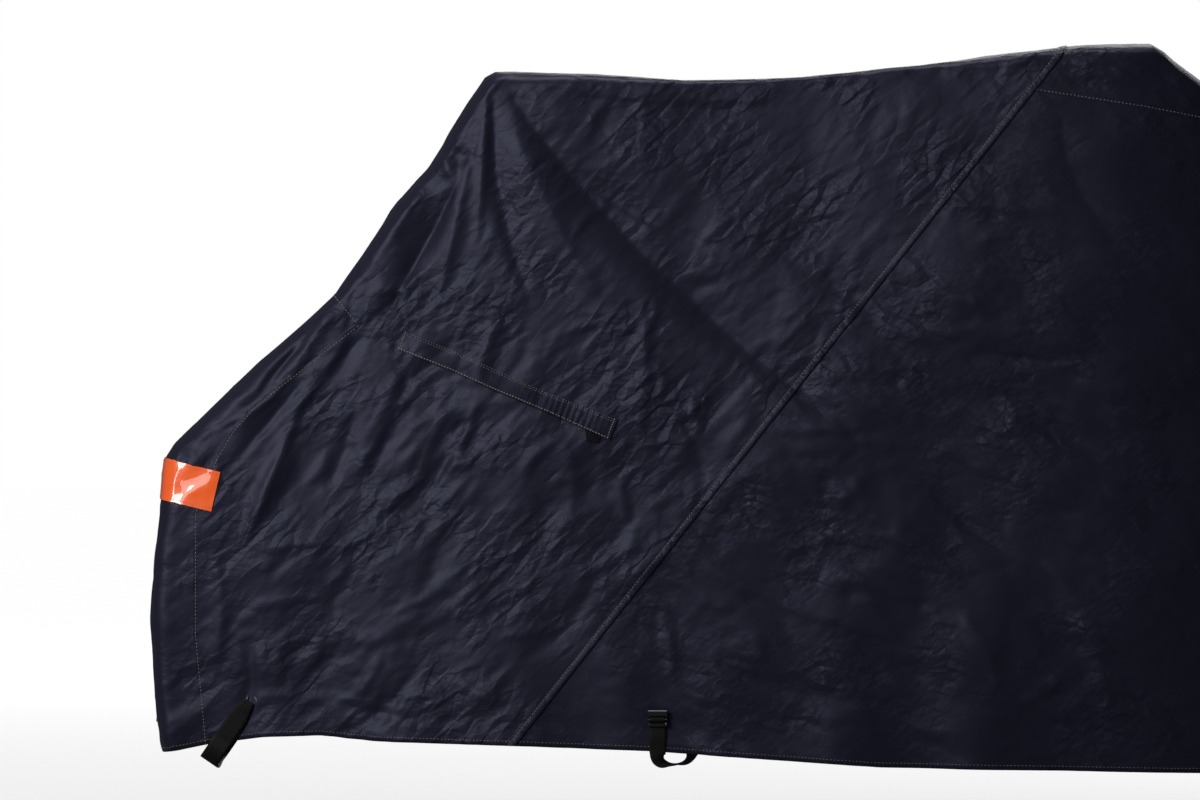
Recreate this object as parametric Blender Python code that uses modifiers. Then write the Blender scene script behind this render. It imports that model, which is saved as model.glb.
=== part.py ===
"""A fitted bicycle cover in crumpled nylon, empty inside, hanging in the shape of what it covers.

Metres, +Z up. X runs along the cover, from its low rear end at -X to its front end at +X, and the
side with the vent flap faces -Y. The origin is under the top of the cover, where it is held up.
In the tables below, x is measured from the middle of the length and z from the ground.
"""

import math
from collections import namedtuple

import bmesh
import bpy
import numpy as np
from mathutils import Vector, noise
from mathutils.bvhtree import BVHTree
from mathutils.geometry import intersect_line_line_2d

# Driving dimensions
MOUNT_HEIGHT = 1.020  # the underside of the top above the ground, at x = 0
CLOTH = 0.0016
GAP = 0.0003  # between pieces that meet
SHOULDER = 0.052  # how far the cloth takes to turn over the ridge and round the ends
SEAM_WIDTH = 0.009
SEAM_THICKNESS = 0.0028
STRIP_TOP = 0.208  # the top of the eyelet strip above the ground
WEBBING = 0.0014
SIDE_REACH = 0.4  # from the middle plane to outside the cover, on either side

# The outline in side view, (x, z), with the rear edge and the front edge read from the hem up
REAR_EDGE = [
    (-0.958, 0.139), (-0.964, 0.158), (-0.970, 0.208), (-0.976, 0.306), (-0.972, 0.389),
    (-0.964, 0.450), (-0.957, 0.512), (-0.945, 0.530), (-0.912, 0.562), (-0.837, 0.636),
    (-0.739, 0.722), (-0.708, 0.767), (-0.660, 0.840), (-0.621, 0.885), (-0.604, 0.912),
    (-0.596, 0.928), (-0.571, 0.968), (-0.549, 1.000), (-0.536, 1.007),
]  # fmt: skip
RIDGE = [(-0.536, 1.007), (-0.407, 1.008), (-0.297, 1.003), (-0.199, 1.005), (-0.066, 1.014),
         (0.103, 1.029), (0.190, 1.036), (0.287, 1.037)]  # fmt: skip
FRONT_EDGE = [
    (0.965, 0.118), (0.972, 0.200), (0.974, 0.330), (0.967, 0.450), (0.945, 0.512),
    (0.900, 0.560), (0.760, 0.678), (0.560, 0.838), (0.420, 0.942), (0.348, 0.992),
    (0.317, 1.015), (0.304, 1.027), (0.287, 1.037),
]  # fmt: skip
HEM = [
    (-0.958, 0.139), (-0.900, 0.152), (-0.829, 0.162), (-0.755, 0.165), (-0.680, 0.158),
    (-0.504, 0.154), (-0.341, 0.149), (-0.055, 0.131), (0.246, 0.127), (0.600, 0.122),
    (0.965, 0.118),
]  # fmt: skip

# Half the cover's width, at its hem and at its top, along its length
HalfWidth = namedtuple("HalfWidth", "x at_hem at_top")
HALF_WIDTHS = [
    HalfWidth(-0.98, 0.060, 0.052),
    HalfWidth(-0.90, 0.078, 0.056),
    HalfWidth(-0.75, 0.108, 0.062),
    HalfWidth(-0.62, 0.130, 0.072),
    HalfWidth(-0.53, 0.146, 0.098),
    HalfWidth(-0.38, 0.164, 0.118),
    HalfWidth(-0.18, 0.190, 0.152),
    HalfWidth(0.02, 0.214, 0.196),
    HalfWidth(0.20, 0.232, 0.240),
    HalfWidth(0.31, 0.238, 0.254),
    HalfWidth(0.45, 0.224, 0.205),
    HalfWidth(0.65, 0.178, 0.125),
    HalfWidth(0.85, 0.112, 0.075),
    HalfWidth(0.98, 0.062, 0.055),
]

# Folds in side view, each a bow from (x0, z0) past (x1, z1) to (x2, z2), with its half width across
# and its depth: above 0 stands out as a ridge, and below 0 is a groove
Fold = namedtuple("Fold", "x0 z0 x1 z1 x2 z2 width depth")
NEAR_FOLDS = [
    # those that fall from the rear peak
    Fold(-0.530, 0.995, -0.440, 0.870, -0.372, 0.765, 0.050, -0.022),
    Fold(-0.385, 0.800, -0.300, 0.735, -0.215, 0.645, 0.055, -0.020),
    Fold(-0.215, 0.650, -0.150, 0.590, -0.060, 0.535, 0.050, -0.012),
    Fold(-0.500, 0.990, -0.390, 0.880, -0.262, 0.785, 0.060, 0.016),
    Fold(-0.430, 0.872, -0.350, 0.842, -0.262, 0.784, 0.030, -0.009),
    Fold(-0.541, 0.975, -0.525, 0.880, -0.497, 0.755, 0.032, -0.013),
    Fold(-0.552, 0.960, -0.562, 0.880, -0.560, 0.790, 0.030, 0.014),
    Fold(-0.505, 0.930, -0.470, 0.830, -0.440, 0.720, 0.036, 0.012),
    Fold(-0.573, 0.925, -0.635, 0.800, -0.685, 0.670, 0.036, -0.016),
    Fold(-0.600, 0.905, -0.640, 0.850, -0.690, 0.765, 0.024, 0.010),
    Fold(-0.604, 0.918, -0.588, 0.905, -0.565, 0.880, 0.018, -0.010),
    # along the rear slope and round the rear end
    Fold(-0.740, 0.704, -0.790, 0.650, -0.835, 0.600, 0.018, -0.008),
    Fold(-0.735, 0.600, -0.800, 0.505, -0.850, 0.405, 0.045, 0.015),
    Fold(-0.690, 0.600, -0.760, 0.480, -0.830, 0.350, 0.040, -0.012),
    Fold(-0.900, 0.470, -0.880, 0.380, -0.870, 0.260, 0.030, -0.009),
    Fold(-0.600, 0.560, -0.680, 0.470, -0.760, 0.330, 0.050, 0.011),
    Fold(-0.560, 0.500, -0.600, 0.430, -0.700, 0.280, 0.040, -0.010),
    Fold(-0.845, 0.214, -0.729, 0.216, -0.603, 0.183, 0.020, -0.007),
    Fold(-0.840, 0.245, -0.720, 0.252, -0.560, 0.225, 0.030, 0.008),
    # the middle, beneath the vent flap
    Fold(-0.450, 0.560, -0.420, 0.470, -0.470, 0.370, 0.045, 0.012),
    Fold(-0.500, 0.420, -0.420, 0.400, -0.330, 0.440, 0.035, -0.009),
    Fold(-0.374, 0.502, -0.372, 0.460, -0.363, 0.400, 0.026, -0.009),
    Fold(-0.620, 0.380, -0.540, 0.340, -0.440, 0.345, 0.032, 0.009),
    Fold(-0.587, 0.240, -0.550, 0.215, -0.500, 0.208, 0.022, -0.007),
    Fold(-0.359, 0.540, -0.315, 0.530, -0.273, 0.545, 0.028, 0.009),
    Fold(-0.345, 0.700, -0.325, 0.640, -0.290, 0.560, 0.034, 0.012),
    Fold(-0.330, 0.330, -0.250, 0.290, -0.160, 0.300, 0.040, -0.009),
    # the front panel, in long shallow bows
    Fold(-0.170, 0.480, -0.080, 0.430, 0.020, 0.440, 0.045, 0.011),
    Fold(-0.020, 0.770, 0.030, 0.715, 0.100, 0.680, 0.040, -0.011),
    Fold(0.060, 0.665, 0.105, 0.628, 0.225, 0.645, 0.032, -0.012),
    Fold(0.100, 0.575, 0.155, 0.535, 0.250, 0.545, 0.036, -0.011),
    Fold(0.010, 0.480, 0.055, 0.425, 0.130, 0.392, 0.036, -0.011),
    Fold(0.140, 0.840, 0.230, 0.780, 0.350, 0.790, 0.050, 0.012),
    Fold(0.230, 0.960, 0.270, 0.860, 0.380, 0.760, 0.055, -0.012),
    Fold(0.040, 0.330, 0.075, 0.260, 0.090, 0.190, 0.034, 0.009),
    Fold(0.110, 0.205, 0.150, 0.235, 0.185, 0.290, 0.028, 0.009),
    Fold(-0.200, 0.260, -0.120, 0.210, -0.020, 0.205, 0.032, 0.008),
    Fold(0.330, 0.900, 0.480, 0.720, 0.700, 0.520, 0.060, -0.014),
    Fold(0.420, 0.620, 0.520, 0.480, 0.560, 0.300, 0.055, 0.014),
    Fold(0.620, 0.620, 0.760, 0.480, 0.900, 0.420, 0.050, 0.012),
    Fold(0.700, 0.380, 0.780, 0.300, 0.880, 0.180, 0.045, -0.011),
    Fold(0.280, 0.420, 0.380, 0.330, 0.420, 0.190, 0.050, -0.011),
]
FAR_FOLDS = [
    Fold(-0.520, 0.990, -0.430, 0.830, -0.380, 0.640, 0.060, -0.018),
    Fold(-0.560, 0.950, -0.600, 0.780, -0.700, 0.600, 0.050, 0.014),
    Fold(-0.460, 0.930, -0.330, 0.780, -0.140, 0.650, 0.060, 0.014),
    Fold(-0.720, 0.620, -0.790, 0.480, -0.850, 0.330, 0.045, 0.013),
    Fold(-0.640, 0.520, -0.600, 0.380, -0.500, 0.240, 0.055, -0.012),
    Fold(-0.300, 0.560, -0.320, 0.420, -0.260, 0.260, 0.050, 0.012),
    Fold(-0.100, 0.880, 0.020, 0.760, 0.180, 0.690, 0.060, -0.013),
    Fold(-0.060, 0.520, 0.060, 0.440, 0.160, 0.300, 0.055, -0.012),
    Fold(0.200, 0.900, 0.360, 0.740, 0.600, 0.560, 0.060, 0.014),
    Fold(0.340, 0.520, 0.440, 0.400, 0.460, 0.220, 0.055, -0.012),
    Fold(0.640, 0.560, 0.760, 0.420, 0.880, 0.340, 0.050, -0.012),
]

# Seams in side view, (x, z), which run the same way on both sides
DIAGONAL_SEAM = [(-0.570, 0.083), (0.260, 1.133)]
YOKE_SEAM = [(0.062, 0.981), (0.266, 0.948), (0.341, 0.934), (0.600, 0.890)]
GUSSET_SEAM = [
    (-0.780, 0.763), (-0.711, 0.682), (-0.803, 0.610), (-0.842, 0.578), (-0.870, 0.547),
    (-0.891, 0.510), (-0.917, 0.444), (-0.917, 0.290), (-0.904, 0.153), (-0.898, 0.080),
]  # fmt: skip
PATCH = [(-1.020, 0.529), (-0.883, 0.496), (-0.894, 0.446), (-1.020, 0.475)]
FLAP = [(-0.650, 0.675), (-0.574, 0.645), (-0.474, 0.599), (-0.380, 0.563), (-0.390, 0.537),
        (-0.470, 0.573), (-0.533, 0.599), (-0.589, 0.624), (-0.659, 0.652)]  # fmt: skip
FLAP_TAB = [(-0.420, 0.550), (-0.401, 0.5412), (-0.405, 0.533), (-0.419, 0.536)]


def along(points, share):
    """The (x, z) at that share of a line's length."""
    line = np.array(points)
    walked = np.concatenate([[0], np.cumsum(np.linalg.norm(np.diff(line, axis=0), axis=1))])
    at = np.asarray(share) * walked[-1]
    return np.stack([np.interp(at, walked, line[:, 0]), np.interp(at, walked, line[:, 1])], axis=-1)


def side_view(across, up):
    """Where the cloth lies in side view: across runs from the rear edge, 0, to the front edge, 1, and
    up from the hem, 0, to the ridge, 1."""
    a, b = across[:, None], up[:, None]
    rear, front = along(REAR_EDGE, up), along(FRONT_EDGE, up)
    hem, top = along(HEM, across), along(RIDGE, across)
    corners = (1 - a) * ((1 - b) * HEM[0] + b * RIDGE[0]) + a * ((1 - b) * HEM[-1] + b * RIDGE[-1])
    return (1 - b) * hem + b * top + (1 - a) * rear + a * front - corners


def distance(places, line):
    """How far each place is from a line of points, and the share of the line where it is nearest."""
    line = np.array(line)
    best, share = np.full(len(places), np.inf), np.zeros(len(places))
    for i, (start, end) in enumerate(zip(line[:-1], line[1:])):
        run = end - start
        t = np.clip((places - start) @ run / (run @ run), 0, 1)
        far = np.linalg.norm(places - start - t[:, None] * run, axis=1)
        share = np.where(far < best, (i + t) / (len(line) - 1), share)
        best = np.minimum(far, best)
    return best, share


def fold_relief(places, folds):
    """How far the folds push the cloth out at each place."""
    relief = np.zeros(len(places))
    for f in folds:
        t = np.linspace(0, 1, 13)[:, None]
        start, middle, end = (np.array(p) for p in ((f.x0, f.z0), (f.x1, f.z1), (f.x2, f.z2)))
        bow = (1 - t) ** 2 * start + 2 * t * (1 - t) * (2 * middle - (start + end) / 2) + t**2 * end
        far, share = distance(places, bow)
        fade = np.clip(share / 0.15, 0, 1) * np.clip((1 - share) / 0.3, 0, 1)
        relief += f.depth * fade * (1 - np.clip(far / f.width, 0, 1)) ** 2
    return relief


def crumple(place):
    """The soft unevenness of nylon that was packed small, at a point of the hanging surface."""
    layers = ((0.26, 0.008), (0.11, 0.006), (0.055, 0.003))  # each layer's size and height
    return sum(high * noise.noise(place / wide) for wide, high in layers)


def half_width(places):
    """Half the cover's width at places in side view, before its folds."""
    x, at_hem, at_top = np.array(HALF_WIDTHS).T
    hem_z = np.interp(places[:, 0], *np.array(HEM).T)
    rear_slope, front_slope = REAR_EDGE[7:], FRONT_EDGE[-2:4:-1]
    crown_z = np.interp(places[:, 0], *np.array(rear_slope + RIDGE[1:] + front_slope).T)
    height = np.clip((places[:, 1] - hem_z) / (crown_z - hem_z), 0, 1)
    flare = np.interp(places[:, 0], x, at_hem) * (1 - height)
    return flare + np.interp(places[:, 0], x, at_top) * height


def hanging_surface():
    """The whole cover as one open surface, both sides joined over the ridge and round the ends."""
    columns, rows, kept_triangles = 150, 60, 4100
    roundness = 2.6  # of the turn over the ridge, where 2 is an ellipse and more is squarer
    hem_wave, hem_wave_length, hem_wave_height = 0.022, 0.12, 0.16
    sag, sag_middle, sag_half_length = 0.014, -0.15, 0.36  # of the ridge between its two peaks
    outline = REAR_EDGE + RIDGE[1:] + FRONT_EDGE[-2::-1]
    bm = bmesh.new()
    for side in (-1, 1):
        sheet = bmesh.ops.create_grid(bm, x_segments=columns, y_segments=rows, size=0.5)["verts"]
        grid = np.array([v.co[:2] for v in sheet]) + 0.5
        places = side_view((1 - np.cos(math.pi * grid[:, 0])) / 2, np.sin(math.pi / 2 * grid[:, 1]))
        turn = np.clip(distance(places, outline)[0] / SHOULDER, 0, 1)
        out = half_width(places) * (1 - (1 - turn) ** roundness) ** (1 / roundness)
        for vert, (x, z), y in zip(sheet, places, out):
            vert.co = x, side * y, z - MOUNT_HEIGHT
        if side > 0:
            bmesh.ops.reverse_faces(bm, faces=list({f for v in sheet for f in v.link_faces}))
    bmesh.ops.remove_doubles(bm, verts=bm.verts, dist=0.0001)
    bm.normal_update()
    bm.verts.ensure_lookup_table()
    places = np.array([(v.co.x, v.co.z + MOUNT_HEIGHT) for v in bm.verts])
    far_side = np.array([v.co.y > 0 for v in bm.verts])
    turn = np.clip(distance(places, outline)[0] / SHOULDER, 0, 1)
    folds = np.where(far_side, fold_relief(places, FAR_FOLDS), fold_relief(places, NEAR_FOLDS))
    above_hem = places[:, 1] - np.interp(places[:, 0], *np.array(HEM).T)
    waves = hem_wave * np.exp(-above_hem / hem_wave_height)
    from_sag = np.clip(np.abs(places[:, 0] - sag_middle) / sag_half_length, 0, 1)
    dips = sag * (1 - turn) ** 2 * (1 - from_sag**2)
    for vert, ease, fold, wave, dip in zip(bm.verts, turn**2, folds, waves, dips):
        ripple = wave * noise.noise(Vector((vert.co.x / hem_wave_length, vert.co.y, 3)))
        uneven = (0.4 + 0.6 * ease) * crumple(vert.co)
        vert.co += vert.normal * (ease * (fold + ripple) + uneven - dip)
    bmesh.ops.triangulate(bm, faces=bm.faces)
    surface = new_object("cover_surface", bm, guides)
    thin = surface.modifiers.new("Thin out", "DECIMATE")
    thin.ratio = kept_triangles / len(surface.data.polygons)
    graph = bpy.context.evaluated_depsgraph_get()
    surface.data = bpy.data.meshes.new_from_object(surface.evaluated_get(graph))
    surface.modifiers.clear()
    return surface


def new_object(name, bm, collection):
    mesh = bpy.data.meshes.new(name)
    bm.to_mesh(mesh)
    bm.free()
    obj = bpy.data.objects.new(name, mesh)
    collection.objects.link(obj)
    if collection is guides:
        obj.hide_render = True
        obj.display_type = "WIRE"
    return obj


def material(name, colour, roughness, metallic=0.0):
    mat = bpy.data.materials.new(name)
    mat.use_nodes = True
    shader = mat.node_tree.nodes["Principled BSDF"]
    shader.inputs["Base Color"].default_value = (*colour, 1)
    shader.inputs["Roughness"].default_value = roughness
    shader.inputs["Metallic"].default_value = metallic
    return mat


def beside(line, gap):
    """The line moved sideways by gap, to the left of the way it runs."""
    line = np.array(line, float)
    run = np.diff(line, axis=0)
    left = np.stack([-run[:, 1], run[:, 0]], axis=1) / np.linalg.norm(run, axis=1)[:, None]
    corner = np.concatenate([left[:1], left[:-1] + left[1:], left[-1:]])
    reach = np.concatenate([left[:1], left[1:], left[-1:]])
    return [tuple(p) for p in line + gap * corner / (corner * reach).sum(axis=1)[:, None]]


def crossing(first, second):
    """Where two lines meet, each given by its first two points."""
    return tuple(intersect_line_line_2d(first[0], first[1], second[0], second[1]))


def prism(name, corners, y_from=-SIDE_REACH, y_to=SIDE_REACH):
    """A cutter with this outline in side view, from y_from to y_to."""
    bm = bmesh.new()
    verts = [bm.verts.new((x, y_from, z - MOUNT_HEIGHT)) for x, z in corners]
    face = bm.faces.new(verts)
    walls = bmesh.ops.extrude_face_region(bm, geom=[face])["geom"]
    pushed = [v for v in walls if isinstance(v, bmesh.types.BMVert)]
    bmesh.ops.translate(bm, verts=pushed, vec=(0, y_to - y_from, 0))
    bmesh.ops.recalc_face_normals(bm, faces=bm.faces)
    return new_object(name, bm, guides)


def cut(obj, cutter, operation):
    boolean = obj.modifiers.new(operation.title(), "BOOLEAN")
    boolean.operation = operation
    boolean.object = cutter
    boolean.solver = "EXACT"


def cloth_piece(name, corners, mat, lift=0.0, thickness=CLOTH, y_to=SIDE_REACH):
    """The part of the hanging surface inside this outline, as cloth of its own thickness. lift is how
    far its underside is above the surface."""
    obj = bpy.data.objects.new(name, surface.data.copy())
    cover.objects.link(obj)
    obj.data.materials.append(mat)
    wall = obj.modifiers.new("Cloth", "SOLIDIFY")
    wall.thickness = thickness
    wall.offset = 1 + 2 * lift / thickness
    wall.use_even_offset = True
    cut(obj, prism(name + "_outline", corners, y_to=y_to), "INTERSECT")
    return obj


def face_at(x, z, side):
    """How far out the cloth's outer face is at a place in side view, on the near side, -1, or the far, 1."""
    outside = Vector((x, side * SIDE_REACH, z - MOUNT_HEIGHT))
    hit = skin.ray_cast(outside, Vector((0, -side, 0)))[0]
    return abs(hit.y) + 1.05 * CLOTH if hit else 0


def lay_on(places, side, half):
    """The middle of a strap that lies on the cloth at these places, clear of it over its whole breadth
    of twice half, and taut from bump to bump."""
    out = [
        max(face_at(x + half.x * a, z + half.z * a, side) for a in np.linspace(-1, 1, 9))
        for x, z in places
    ]
    taut = [max(out[max(i - 1, 0) : i + 2]) + GAP + WEBBING / 2 for i in range(len(out))]
    return [Vector((x, side * y, z - MOUNT_HEIGHT)) for (x, z), y in zip(places, taut)]


def smooth_line(points, steps):
    """Points along a smooth curve through these, with steps of them in each stretch."""
    p = [2 * Vector(points[0]) - Vector(points[1])] + [Vector(q) for q in points]
    p.append(2 * p[-1] - p[-2])
    line = []
    for a, b, c, d in zip(p, p[1:], p[2:], p[3:]):
        for t in (i / steps for i in range(steps)):
            line.append(0.5 * (2 * b + (c - a) * t + (2 * a - 5 * b + 4 * c - d) * t**2
                               + (3 * b - a - 3 * c + d) * t**3))  # fmt: skip
    return line + [Vector(points[-1])]


def webbing(name, line, breadth):
    """A flat strap whose middle follows the line. breadth holds half its width as a vector, one for
    each point of the line."""
    bm = bmesh.new()
    verts = bmesh.ops.create_grid(bm, x_segments=len(line) - 1, y_segments=1, size=1)["verts"]
    for vert in verts:
        i = round((vert.co.x + 1) / 2 * (len(line) - 1))
        vert.co = line[i] + math.copysign(1, vert.co.y) * breadth[i]
    obj = new_object(name, bm, cover)
    obj.data.materials.append(black_webbing)
    wall = obj.modifiers.new("Webbing", "SOLIDIFY")
    wall.thickness = WEBBING
    wall.offset = 0
    return obj


for old in list(bpy.data.objects):
    bpy.data.objects.remove(old)
cover = bpy.data.collections.new("bicycle_cover")
guides = bpy.data.collections.new("guides")
for collection in (cover, guides):
    bpy.context.scene.collection.children.link(collection)

surface = hanging_surface()
skin = BVHTree.FromObject(surface, bpy.context.evaluated_depsgraph_get())

nylon = material("navy_nylon", (0.012, 0.014, 0.026), 0.55)
seam_nylon = material("seam_nylon", (0.010, 0.012, 0.022), 0.6)
orange_film = material("orange_reflective_film", (1.0, 0.135, 0.016), 0.22)
black_webbing = material("black_webbing", (0.006, 0.006, 0.007), 0.7)
black_plastic = material("black_plastic", (0.02, 0.02, 0.022), 0.4)
steel = material("nickelled_steel", (0.55, 0.55, 0.56), 0.3, 1.0)


def panels():
    """The panels, each half a gap short of its seams. Returns the strip that takes the eyelet."""
    clear = 1.2  # outside the cover on any side
    behind_seam = beside(DIAGONAL_SEAM, SEAM_WIDTH / 2 + GAP)
    ahead_of_seam = beside(DIAGONAL_SEAM, -SEAM_WIDTH / 2 - GAP)
    ahead_of_gusset, behind_gusset = beside(GUSSET_SEAM, GAP / 2), beside(GUSSET_SEAM, -GAP / 2)
    over_yoke, under_yoke = beside(YOKE_SEAM, GAP / 2), beside(YOKE_SEAM, -GAP / 2)
    cloth_piece("rear_panel", [*ahead_of_gusset, *behind_seam, (GUSSET_SEAM[0][0], clear)], nylon)
    lower = [ahead_of_seam[0], crossing(ahead_of_seam, under_yoke), *under_yoke[1:]]
    cloth_piece("front_panel", [*lower, (clear, YOKE_SEAM[-1][1]), (clear, 0)], nylon)
    upper = [ahead_of_seam[1], crossing(ahead_of_seam, over_yoke), *over_yoke[1:]]
    cloth_piece("top_yoke", [*upper, (YOKE_SEAM[-1][0], clear)], nylon)

    gusset_side = [p for p in behind_gusset if p[1] > STRIP_TOP]
    strip_side = [p for p in behind_gusset if p[1] < STRIP_TOP]
    level = [(-clear, STRIP_TOP), (0, STRIP_TOP)]
    over, under = (
        crossing([gusset_side[-1], strip_side[0]], beside(level, gap)) for gap in (GAP / 2, -GAP / 2)
    )
    gusset = [*gusset_side, over, (-clear, over[1]), (-clear, GUSSET_SEAM[0][1])]
    cloth_piece("rear_gusset", gusset, nylon)
    strip = [under, *strip_side, (-clear, 0), (-clear, under[1])]
    return cloth_piece("eyelet_strip", strip, nylon)


def diagonal_seam():
    """The felled seam between the two large panels, proud of them on both faces."""
    sides = beside(DIAGONAL_SEAM, SEAM_WIDTH / 2), beside(DIAGONAL_SEAM, -SEAM_WIDTH / 2)
    lift = (CLOTH - SEAM_THICKNESS) / 2
    cloth_piece("diagonal_seam", [*sides[0], *sides[1][::-1]], seam_nylon, lift, SEAM_THICKNESS)


def sewn_on():
    """The orange patch round the rear end, and the vent flap with its tab on the near side."""
    lift = CLOTH + 1.7 * GAP
    cloth_piece("reflective_patch", PATCH, orange_film, lift, thickness=0.0010)
    cloth_piece("vent_flap", FLAP, nylon, lift, thickness=0.0020, y_to=0)
    cloth_piece("flap_tab", FLAP_TAB, black_webbing, lift, WEBBING, y_to=0)


def eyelet(strip):
    """A ring clenched through the strip at the middle of the rear end."""
    height, flange, barrel, hole, rim = 0.182, 0.0068, 0.0042, 0.0034, 0.0007
    spread = (0, -flange, flange)
    hits = [
        skin.ray_cast(Vector((-1.2, y, height + z - MOUNT_HEIGHT)), Vector((1, 0, 0)))[0]
        for y in spread
        for z in spread
    ]
    middle, lower, upper = hits[:3]
    outward = Vector((lower.z - upper.z, 0, upper.x - lower.x)).normalized()
    uneven = [(hit - middle).dot(outward) for hit in hits]
    deep = CLOTH + 3 * GAP + max(uneven) - min(uneven)  # between the flanges
    profile = [
        (hole, rim), (flange - rim, rim), (flange, rim / 2), (flange, 0), (barrel, 0),
        (barrel, -deep), (flange, -deep), (flange, -deep - rim), (hole, -deep - rim),
    ]  # fmt: skip
    bm = bmesh.new()
    ring = [bm.verts.new((r, 0, z)) for r, z in profile]
    for a, b in zip(ring, ring[1:] + ring[:1]):
        bm.edges.new((a, b))
    obj = new_object("eyelet", bm, cover)
    obj.data.materials.append(steel)
    obj.location = middle + outward * (1.03 * CLOTH + GAP + max(uneven))
    obj.rotation_euler = outward.to_track_quat("Z", "Y").to_euler()
    turned = obj.modifiers.new("Turned", "SCREW")
    turned.steps = turned.render_steps = 24
    turned.use_merge_vertices = True
    turned.merge_threshold = 0.00001

    bm = bmesh.new()
    wide = barrel + GAP
    bmesh.ops.create_cone(bm, cap_ends=True, segments=24, radius1=wide, radius2=wide, depth=0.04)
    punch = new_object("eyelet_punch", bm, guides)
    punch.location = obj.location
    punch.rotation_euler = obj.rotation_euler
    cut(strip, punch, "DIFFERENCE")


def rear_strap():
    """Webbing sewn to the near side, down under the hem and up to the same place on the far side."""
    top_x, top_z = -0.838, 0.214
    down, across = Vector((-0.565, 0, -0.825)), Vector((0.825, 0, -0.565))
    half = across * 0.025 / 2
    sides = []
    for side in (-1, 1):
        on_cloth = np.linspace(0, 0.068, 8)  # along the strap from its sewn end
        run = lay_on([(top_x + down.x * s, top_z + down.z * s) for s in on_cloth], side, half)
        run.append(run[-1] + down * 0.014)
        run.append(run[-1] + down * 0.012 + Vector((0, -0.006 * side, 0)))
        sides.append(run)
    near, far = sides
    low = near[-1] + down * 0.008
    under = [Vector((low.x, y, low.z)) for y in (near[-1].y + 0.016, 0, far[-1].y - 0.016)]
    under[1].z -= 0.004
    line = smooth_line(near + under + far[::-1], 3)
    webbing("rear_strap", line, [half] * len(line))


def buckle(x, height, seat, bars_back):
    """A three-bar slider of two slots, standing seat + bars_back out from the middle."""
    wide, tall, deep, pitch, bar = 0.025, 0.0205, 0.0026, 0.00545, 0.0022
    y = -(seat + bars_back + deep / 2)
    centre = Vector((x, y, height - MOUNT_HEIGHT))
    bm = bmesh.new()
    bmesh.ops.create_cube(bm, size=1)
    bmesh.ops.scale(bm, vec=(wide, deep, tall), verts=bm.verts)
    bmesh.ops.translate(bm, vec=(0, 0, 0.0014), verts=bm.verts)
    frame = new_object("ladder_buckle", bm, cover)
    frame.location = centre
    frame.data.materials.append(black_plastic)
    for at in (-pitch / 2, pitch / 2):
        bm = bmesh.new()
        bmesh.ops.create_cube(bm, size=1)
        bmesh.ops.scale(bm, vec=(wide - 0.004, 3 * deep, pitch - bar), verts=bm.verts)
        slot = new_object("buckle_slot", bm, guides)
        slot.location = centre + Vector((0, 0, at))
        cut(frame, slot, "DIFFERENCE")
    round_off = frame.modifiers.new("Bevel", "BEVEL")
    round_off.width = 0.0005
    round_off.segments = 1


def belly_strap():
    """Webbing threaded through a slider on the near side, then under the hem and up inside, across
    and down, and round the far hem to its sewn end."""
    x, height, seat_up = -0.330, 0.188, 0.0145
    half = Vector((0.020 / 2, 0, 0))
    seat = max(
        face_at(x + a, height + z, -1)
        for a in np.linspace(-0.0125, 0.0125, 9)
        for z in np.linspace(-0.014, seat_up, 9)
    )
    behind = GAP + WEBBING / 2
    bars_back = WEBBING + 2 * GAP + 0.0002
    front = bars_back + 0.0026 + GAP + WEBBING / 2
    buckle(x, height, seat, bars_back)
    # (height from the middle bar, how far out) from the sewn end down through both slots
    threaded = [
        (0.0098, behind), (0.0057, behind), (0.0040, behind + 0.0004), (0.0029, (behind + front) / 2),
        (0.0018, front - 0.0004), (0, front), (-0.0018, front - 0.0004),
        (-0.0029, (behind + front) / 2), (-0.0040, behind + 0.0004), (-0.0057, behind), (-0.0100, behind),
    ]  # fmt: skip
    line = [Vector((x, -seat - out, height + z - MOUNT_HEIGHT)) for z, out in threaded]
    breadth = [half] * len(line)
    near = lay_on([(x, z) for z in np.linspace(0.170, 0.152, 4)], -1, half)
    out = -near[-1].y + 0.0005
    far = lay_on([(-0.256, z) for z in np.linspace(0.149, 0.192, 6)], 1, half)
    # (x, y, z from the ground, how far its breadth has turned from along the cover to across it)
    Turn = namedtuple("Turn", "x y z degrees")
    loop = [
        Turn(-0.330, -out, 0.146, 0), Turn(-0.328, -out, 0.136, 20), Turn(-0.320, -out + 0.004, 0.129, 55),
        Turn(-0.307, -out + 0.010, 0.126, 80), Turn(-0.294, -out + 0.018, 0.131, 85),
        Turn(-0.286, -out + 0.024, 0.144, 75), Turn(-0.282, -out + 0.028, 0.160, 45),
        Turn(-0.280, -out + 0.036, 0.174, 15), Turn(-0.276, -out + 0.062, 0.181, 0),
        Turn(-0.268, -0.030, 0.172, 0), Turn(-0.261, 0.060, 0.152, 0),
        Turn(-0.257, far[0].y - 0.040, 0.130, 0), Turn(-0.256, far[0].y - 0.014, 0.120, 0),
        Turn(-0.256, far[0].y, 0.132, 0),
    ]  # fmt: skip
    route = near + [Vector((t.x, t.y, t.z - MOUNT_HEIGHT)) for t in loop] + far
    turns = [0] * len(near) + [t.degrees for t in loop] + [0] * len(far)
    steps = 3
    smooth = smooth_line(route, steps)
    angles = np.interp(np.arange(len(smooth)) / steps, range(len(turns)), np.radians(turns))
    for i, (point, angle) in enumerate(zip(smooth, angles)):
        run = (smooth[min(i + 1, len(smooth) - 1)] - smooth[max(i - 1, 0)]).normalized()
        side = Vector((math.cos(angle), math.sin(angle), 0))
        line.append(point)
        breadth.append((side - run * side.dot(run)).normalized() * half.length)
    webbing("belly_strap", line, breadth)


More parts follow.
